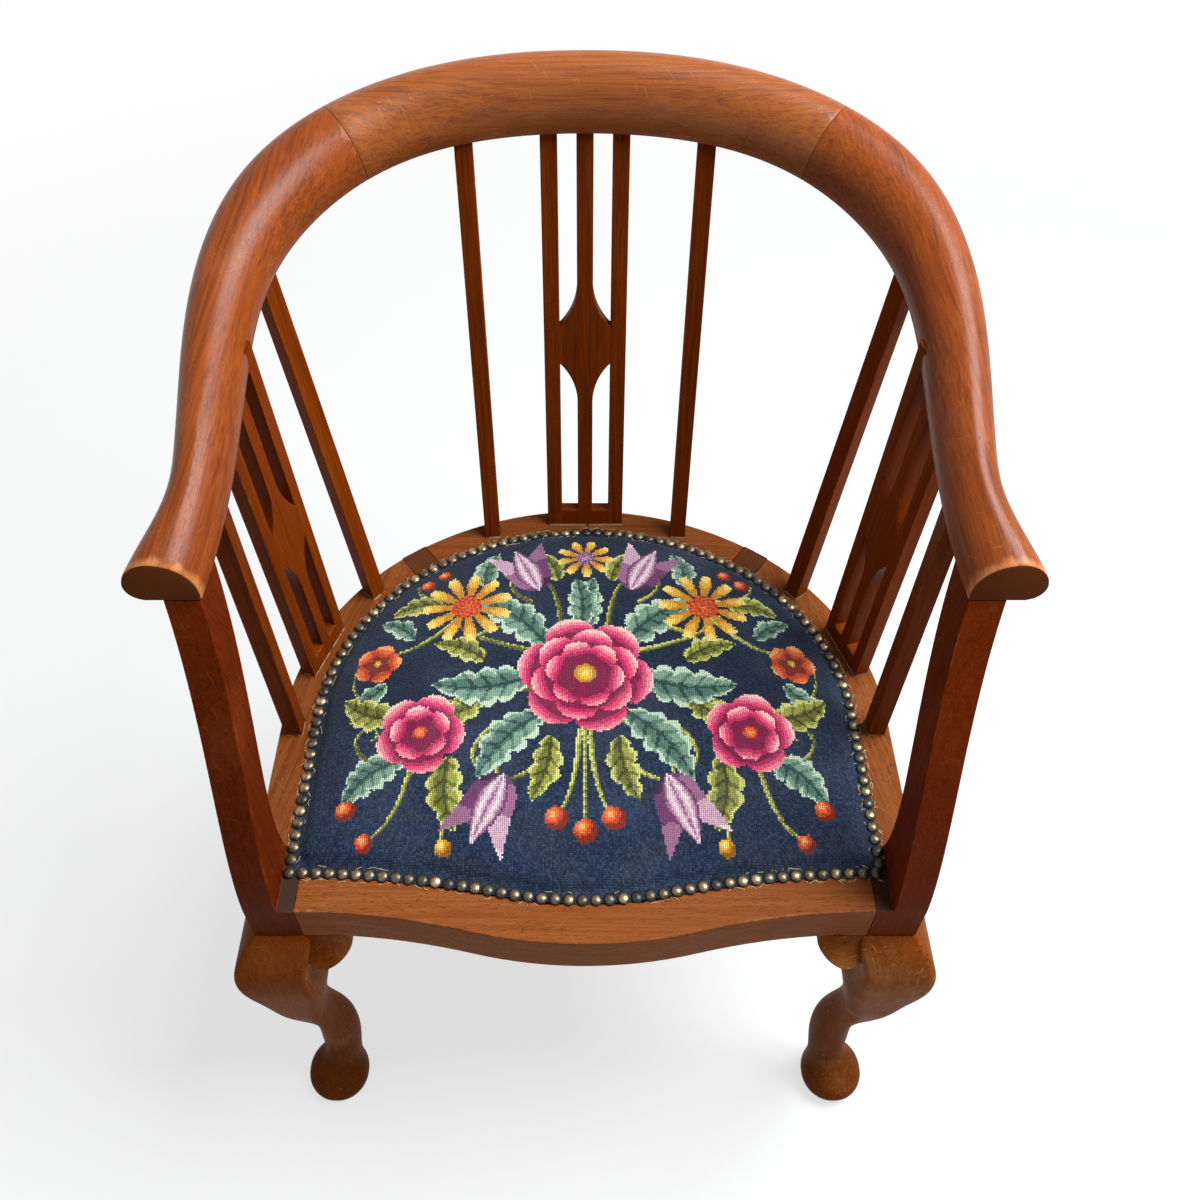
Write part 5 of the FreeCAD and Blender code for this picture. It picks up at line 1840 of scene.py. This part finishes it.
    def draw_in(self, cover: bpy.types.Object) -> None:
        """Move the border points of the cover onto its cut edge.

        Args:
            cover: The flat cover.
        """
        line = PLAN.outline(self.edge)
        run = np.roll(line, -1, axis=0) - line
        shape = bmesh.new()
        shape.from_mesh(cover.data)
        for vertex in shape.verts:
            if not vertex.is_boundary:
                continue
            place = np.array(vertex.co[:2])
            share = np.clip(((place - line) * run).sum(1) / np.maximum((run * run).sum(1), 1e-12), 0, 1)
            near = line + share[:, None] * run
            vertex.co.xy = near[np.argmin(((near - place) ** 2).sum(1))]
        shape.to_mesh(cover.data)
        shape.free()

    @staticmethod
    def eased(cover: bpy.types.Object, under: np.ndarray) -> np.ndarray:
        """Ease the heights of the cover from stitch to stitch.

        Args:
            cover: The flat cover.
            under: The least height of each of its points.

        Returns:
            Heights that run smoothly and clear what lies under them.
        """
        pairs = np.empty(len(cover.data.edges) * 2, dtype=np.int32)
        cover.data.edges.foreach_get("vertices", pairs)
        pairs = pairs.reshape(-1, 2)
        both = np.concatenate([pairs, pairs[:, ::-1]])
        levels = under.copy()
        for _ in range(2):
            widened = levels.copy()
            np.maximum.at(widened, both[:, 0], levels[both[:, 1]])
            levels = widened
        met = np.bincount(both[:, 0], minlength=len(levels))
        for _ in range(6):
            total = np.bincount(both[:, 0], weights=levels[both[:, 1]], minlength=len(levels))
            levels = np.maximum(levels * 0.4 + total / np.maximum(met, 1) * 0.6, under)
        return levels

    @staticmethod
    def stitch(cover: bpy.types.Object) -> None:
        """Colour every stitch of the cover.

        Args:
            cover: The cover.
        """
        garland = Garland()
        chance = random.Random(7)
        corners: list[float] = []
        for face in cover.data.polygons:
            colour = garland.colour(face.center.x, face.center.y, chance)
            corners.extend((*colour, 1.0) * face.loop_total)
        wool = cover.data.color_attributes.new("stitch", "FLOAT_COLOR", "CORNER")
        wool.data.foreach_set("color", corners)

    def nail_places(self) -> list[Vector]:
        """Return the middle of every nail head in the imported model."""
        boxes = islands(self.frame["nodes"]["decorative_nails"])
        rise = self.nail_rise
        return [Vector(((low.x + high.x) / 2, (low.y + high.y) / 2, high.z - rise)) for low, high in boxes]

    def nail_row(self, places: list[Vector]) -> bpy.types.Object:
        """Make the dome nails as one piece.

        Args:
            places: Where the nail heads sit.

        Returns:
            The row of nails.
        """
        bpy.ops.object.select_all(action="DESELECT")
        bpy.ops.mesh.primitive_uv_sphere_add(segments=14, ring_count=10, radius=self.nail_radius)
        nail = bpy.context.view_layer.objects.active
        with editing(nail):
            bpy.ops.mesh.bisect(plane_co=(0, 0, 0), plane_no=(0, 0, 1), clear_inner=True, use_fill=True)
        nail.scale = (1.0, 1.0, self.nail_shape)
        settle(nail, "nail")
        chance = random.Random(21)
        heads: list[bpy.types.Mesh] = []
        for place in places:
            head = nail.data.copy()
            lean = Vector((chance.uniform(-1, 1), chance.uniform(-1, 1), 0.01)).normalized()
            tilt = Matrix.Rotation(chance.gauss(0, self.nail_lean), 4, lean)
            shine = min(max(chance.gauss(0.5, 0.13), 0.2), 0.9)
            worn = [shine * (0.25 + 0.75 * v.co.z / self.nail_rise) for v in head.vertices]
            head.attributes.new("rubbed", "FLOAT", "POINT").data.foreach_set("value", worn)
            head.transform(Matrix.Translation(place) @ tilt @ Matrix.Scale(chance.uniform(0.965, 1.0), 4))
            heads.append(head)
        bpy.data.objects.remove(nail)
        row = gather(heads, "decorative_nail_row")
        bpy.ops.object.shade_smooth_by_angle(angle=math.radians(50))
        LOG.info("%d nails", len(places))
        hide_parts("decorative_nails")
        return finish_piece(row, self.nails.material("nail_brass"))

    def threads(self, places: list[Vector]) -> bpy.types.Object:
        """Make the loose canvas threads beside the nails as one piece.

        Args:
            places: Where the nail heads sit.

        Returns:
            The threads.
        """
        bpy.ops.object.select_all(action="DESELECT")
        bpy.ops.mesh.primitive_cylinder_add(vertices=5, radius=self.thread_radius, depth=1.0)
        thread = bpy.context.view_layer.objects.active
        with editing(thread):
            for level in (-0.25, 0.0, 0.25):
                bpy.ops.mesh.select_all(action="SELECT")
                bpy.ops.mesh.bisect(plane_co=(0, 0, level), plane_no=(0, 0, 1))
        chance = random.Random(5)
        spots = np.array([(p.x, p.y) for p in places])
        step = 0.0005
        slope_x = PLAN.depth(spots + (step, 0)) - PLAN.depth(spots - (step, 0))
        slope_y = PLAN.depth(spots + (0, step)) - PLAN.depth(spots - (0, step))
        laid: list[bpy.types.Mesh] = []
        for place, inward in zip(places, np.stack([slope_x, slope_y], axis=1)):
            inward /= np.linalg.norm(inward)
            sideways = Fray.SOME if place.x > self.fray_side else Fray.LITTLE
            fray = Fray.MUCH if place.y > self.fray_back else sideways
            for _ in range(self.thread_tries):
                if chance.random() > fray.value:
                    continue
                aside = chance.choice((-1, -1, 1)) * chance.uniform(*self.thread_aside)
                along = chance.uniform(-self.thread_along, self.thread_along)
                laid.append(self.thread(thread.data, place, inward, (aside, along), chance))
        bpy.data.objects.remove(thread)
        made = gather(laid, "canvas_threads")
        bpy.ops.object.shade_smooth()
        return finish_piece(made, self.canvas.material("canvas_thread"))

    def thread(
        self, source: bpy.types.Mesh, place: Vector, inward: np.ndarray, offset: Point, chance: random.Random
    ) -> bpy.types.Mesh:
        """Return one thread, laid by a nail and bent a little.

        Args:
            source: A straight thread of length 1 along z.
            place: The middle of the nail head.
            inward: The way to the middle of the seat, in plan.
            offset: How far it lies towards the middle and along the row.
            chance: What its bend is drawn from.

        Returns:
            The thread's mesh.
        """
        made = source.copy()
        tangent = np.array([-inward[1], inward[0]])
        middle = np.array(place[:2]) + inward * offset[0] + tangent * offset[1]
        turn = chance.gauss(0, self.thread_turn)
        lead = tangent * math.cos(turn) + inward * math.sin(turn)
        side = np.array([-lead[1], lead[0]])
        length = chance.uniform(*self.thread_length)
        bend = chance.gauss(0, self.thread_bend)
        level = SEAT_TOP + self.thread_levels[0 if offset[0] < 0 else 1]
        lift = chance.uniform(0.0, self.thread_lift)
        for vertex in made.vertices:
            far = vertex.co.z
            spread = middle + lead * far * length + side * (vertex.co.x + bend * (4 * far * far - 0.5))
            vertex.co = (spread[0], spread[1], level + vertex.co.y + lift * (far + 0.5))
        return made


@dataclass
class Underseat:
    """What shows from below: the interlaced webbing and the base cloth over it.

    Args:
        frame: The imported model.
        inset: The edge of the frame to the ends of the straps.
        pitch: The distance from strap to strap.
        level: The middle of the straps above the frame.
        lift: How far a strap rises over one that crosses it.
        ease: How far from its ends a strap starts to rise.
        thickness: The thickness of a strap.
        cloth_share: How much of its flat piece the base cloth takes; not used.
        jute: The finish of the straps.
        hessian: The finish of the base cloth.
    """

    frame: dict
    inset: float = 0.043
    pitch: float = 0.078
    level: float = 0.00115
    lift: float = 0.0006
    ease: float = 0.03
    thickness: float = 0.0009
    cloth_share: float = 0.86
    jute: PlainWeave = PlainWeave(linear(188, 160, 116), 0.0032)
    hessian: PlainWeave = PlainWeave(linear(172, 146, 104), 0.0022)

    def build(self) -> None:
        """Make the straps and the base cloth."""
        jute = self.jute.material("webbing")
        lengthwise = self.straps("webbing_lengthwise", Run.LENGTHWISE, jute)
        crosswise = self.straps("webbing_crosswise", Run.CROSSWISE, jute)
        self.base_cloth([strap.name for strap in lengthwise + crosswise])

    def straps(self, node: str, run: Run, jute: bpy.types.Material) -> list[bpy.types.Object]:
        """Make the straps that run one way, woven over and under those that cross them.

        Args:
            node: The node that they replace.
            run: Which way they run.
            jute: Their material.

        Returns:
            The straps.
        """
        lead = run.value
        cross = 1 - lead
        made: list[bpy.types.Object] = []
        boxes = sorted(islands(self.frame["nodes"][node]), key=lambda box: box[0][cross])
        for number, (low, high) in enumerate(boxes):
            width = (low[cross], high[cross])
            length = (low[lead], high[lead])
            made.append(self.strap(f"{node}_{number + 1}", run, width, length, number, jute))
        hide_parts(node)
        return made

    def strap(
        self, name: str, run: Run, width: Point, length: Point, number: int, jute: bpy.types.Material
    ) -> bpy.types.Object:
        """Make one strap from a flat strip.

        Args:
            name: Its name.
            run: Which way it runs.
            width: The places of its long edges.
            length: The places of its ends before it is cut to the frame.
            number: Its number in the row, which says if it starts over or under.
            jute: Its material.

        Returns:
            The strap.
        """
        crosswise = run is Run.CROSSWISE
        bpy.ops.object.select_all(action="DESELECT")
        bpy.ops.mesh.primitive_grid_add(x_subdivisions=90, y_subdivisions=6, size=1.0)
        strap = bpy.context.view_layer.objects.active
        ends: dict[float, Point] = {}
        for vertex in strap.data.vertices:
            aside = sum(width) / 2 + vertex.co.y * (width[1] - width[0])
            row = round(vertex.co.y, 4)
            if row not in ends:
                ends[row] = self.reach(run, aside, length)
            start, end = ends[row]
            along = start + (vertex.co.x + 0.5) * (end - start)
            wave = math.cos(along / self.pitch * math.pi + number * math.pi)
            lift = self.lift * wave * min(1.0, min(along - start, end - along) / self.ease)
            level = SEAT_TOP + self.level + (lift if crosswise else -lift)
            vertex.co = (along, aside, level) if crosswise else (aside, along, level)
        settle(strap, name)
        if not crosswise:
            with editing(strap):
                bpy.ops.mesh.flip_normals()
        bpy.ops.object.shade_smooth()
        area = sum(face.area for face in strap.data.polygons)
        thick = strap.modifiers.new("Thickness", "SOLIDIFY")
        thick.thickness = self.thickness
        thick.offset = 0.0
        finish_piece(strap, jute)
        flat = (width[1] - width[0], length[1] - length[0])
        taken = min(area, flat[0] * flat[1])
        return strap

    def reach(self, run: Run, aside: float, length: Point) -> Point:
        """Find where a line along a strap meets the seat frame.

        Args:
            run: Which way the strap runs.
            aside: Where the line lies across the strap.
            length: Where the search starts and ends.

        Returns:
            Both ends of the line.
        """
        fine = np.linspace(length[0], length[1], 300)
        still = np.full(len(fine), aside)
        line = [fine, still] if run is Run.CROSSWISE else [still, fine]
        within = fine[PLAN.depth(np.stack(line, axis=1)) > self.inset]
        return within.min(), within.max()

    def base_cloth(self, straps: list[str]) -> bpy.types.Object:
        """Make the hessian that the stuffing lies on.

        Args:
            straps: The names of the straps under it; not used.

        Returns:
            The cloth.
        """
        cloth = copy_node(self.frame["nodes"]["hessian_base"], "hessian_cloth")
        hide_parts("hessian_base")
        finish_piece(cloth, self.hessian.material("hessian"))
        return cloth


@dataclass
class HiddenJoinery:
    """Blocks, screws and dowels, which keep their packed form.

    Args:
        frame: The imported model.
        beech: The finish of blocks and dowels.
        steel: The finish of screws.
    """

    frame: dict
    beech: PlainWood = PlainWood(linear(206, 166, 116))
    steel: AgedMetal = AgedMetal(linear(180, 178, 172), linear(70, 66, 62), 0.35)

    def build(self) -> None:
        """Give the hidden pieces their materials."""
        beech = self.beech.material("beech")
        steel = self.steel.material("screw_steel")
        for name, node in self.frame["nodes"].items():
            if name.endswith("dowels") or name.startswith("corner_block"):
                node.data.materials.clear()
                node.data.materials.append(steel if name.endswith("screws") else beech)


@dataclass
class Studio:
    """The floor, the light and the camera.

    Args:
        eye: Where the camera stands.
        pitch: How far it looks down, in degrees.
        lens: Its focal length in millimetres.
        sensor: The width of its sensor in millimetres.
        shift: How far its picture is shifted, as shares of the width.
        lamp_place: Where the lamp hangs.
        lamp_aim: What it faces.
        lamp_size: The side of the lamp.
        lamp_power: Its power in watts.
        lamp_tone: The colour of its light.
        room_tone: The colour of the light from all round.
        room_light: The strength of that light.
        floor_side: The side of the floor.
        floor_drop: How far the floor lies below the feet.
        floor_tone: The floor where the camera sees it.
        floor_bounce: The floor as it lights the chair.
        staged: What is set up so far.
    """

    eye: Place = (0.0, -0.6226, 1.282)
    pitch: float = 46.9
    lens: float = 34.5
    sensor: float = 36.0
    shift: Point = (0.0125, -0.0833)
    lamp_place: Place = (1.1, 0.05, 2.4)
    lamp_aim: Place = (0.0, 0.0, 0.45)
    lamp_size: float = 1.25
    lamp_power: float = 90.0
    lamp_tone: Colour = (0.95, 0.98, 1.0)
    room_tone: Colour = (0.97, 0.98, 1.0)
    room_light: float = 0.32
    floor_side: float = 30.0
    floor_drop: float = 0.0005
    floor_tone: Colour = (0.86, 0.86, 0.86)
    floor_bounce: Colour = (0.6, 0.6, 0.6)
    staged: list[bpy.types.Object] = field(default_factory=list)

    def build(self) -> None:
        """Set the stage."""
        bpy.context.scene.view_settings.view_transform = "Standard"
        self.floor()
        self.sky()
        self.lamp()
        self.camera()
        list(self.staged)

    def floor(self) -> None:
        """Lay a plain pale floor that runs out into white."""
        bpy.ops.object.select_all(action="DESELECT")
        bpy.ops.mesh.primitive_plane_add(size=self.floor_side, location=(0, 0, -self.floor_drop))
        floor = bpy.context.view_layer.objects.active
        floor.name = "floor"
        g = Graph(bpy.data.materials.new("floor"))
        white = g.node("ShaderNodeEmission", None, {"Color": WHITE, "Strength": 1.0})
        pale = g.node("ShaderNodeBsdfDiffuse", None, {"Color": self.floor_tone})
        grey = g.node("ShaderNodeBsdfDiffuse", None, {"Color": self.floor_bounce})
        matt = g.node("ShaderNodeMixShader", None, {0: g.ray("Camera"), 1: grey, 2: pale})
        far = g.node("ShaderNodeVectorMath", {"operation": "LENGTH"}, {0: g.place()}, out="Value")
        share = g.seen() * (far.ramp(0.5, 2.4) * 0.34 + 0.66)
        mixed = g.node("ShaderNodeMixShader", None, {0: share, 1: matt, 2: white})
        floor.data.materials.append(g.close(mixed))
        self.staged.append(floor)

    def sky(self) -> None:
        """Light the room evenly, with white where the camera sees past the floor."""
        g = Graph(bpy.data.worlds.new("studio"))
        white = g.node("ShaderNodeBackground", None, {"Color": WHITE, "Strength": 1.0})
        soft = g.node("ShaderNodeBackground", None, {"Color": self.room_tone, "Strength": self.room_light})
        mixed = g.node("ShaderNodeMixShader", None, {0: g.seen(), 1: soft, 2: white})
        bpy.context.scene.world = g.close(mixed)

    def lamp(self) -> None:
        """Hang a large soft lamp that faces the chair."""
        data = bpy.data.lights.new("key", "AREA")
        data.size = self.lamp_size
        data.energy = self.lamp_power
        data.color = self.lamp_tone
        lamp = bpy.data.objects.new("key", data)
        lamp.location = self.lamp_place
        lamp.rotation_mode = "QUATERNION"
        aim = Vector(self.lamp_aim) - Vector(self.lamp_place)
        lamp.rotation_quaternion = aim.to_track_quat("-Z", "Y")
        bpy.context.scene.collection.objects.link(lamp)
        self.staged.append(lamp)

    def camera(self) -> None:
        """Set the camera where the photograph was taken."""
        data = bpy.data.cameras.new("camera")
        data.lens = self.lens
        data.sensor_width = self.sensor
        data.shift_x, data.shift_y = self.shift
        camera = bpy.data.objects.new("camera", data)
        camera.location = self.eye
        camera.rotation_euler = (math.radians(90 - self.pitch), 0, 0)
        bpy.context.scene.collection.objects.link(camera)
        bpy.context.scene.camera = camera
        self.staged.append(camera)


def main() -> None:
    """Build the chair and its stage."""
    logging.basicConfig(level=logging.INFO, format="%(message)s")
    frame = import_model()
    ShowWood(frame).build()
    Seat(frame).build()
    Underseat(frame).build()
    HiddenJoinery(frame).build()
    Studio().build()


if __name__ == "__main__":
    main()
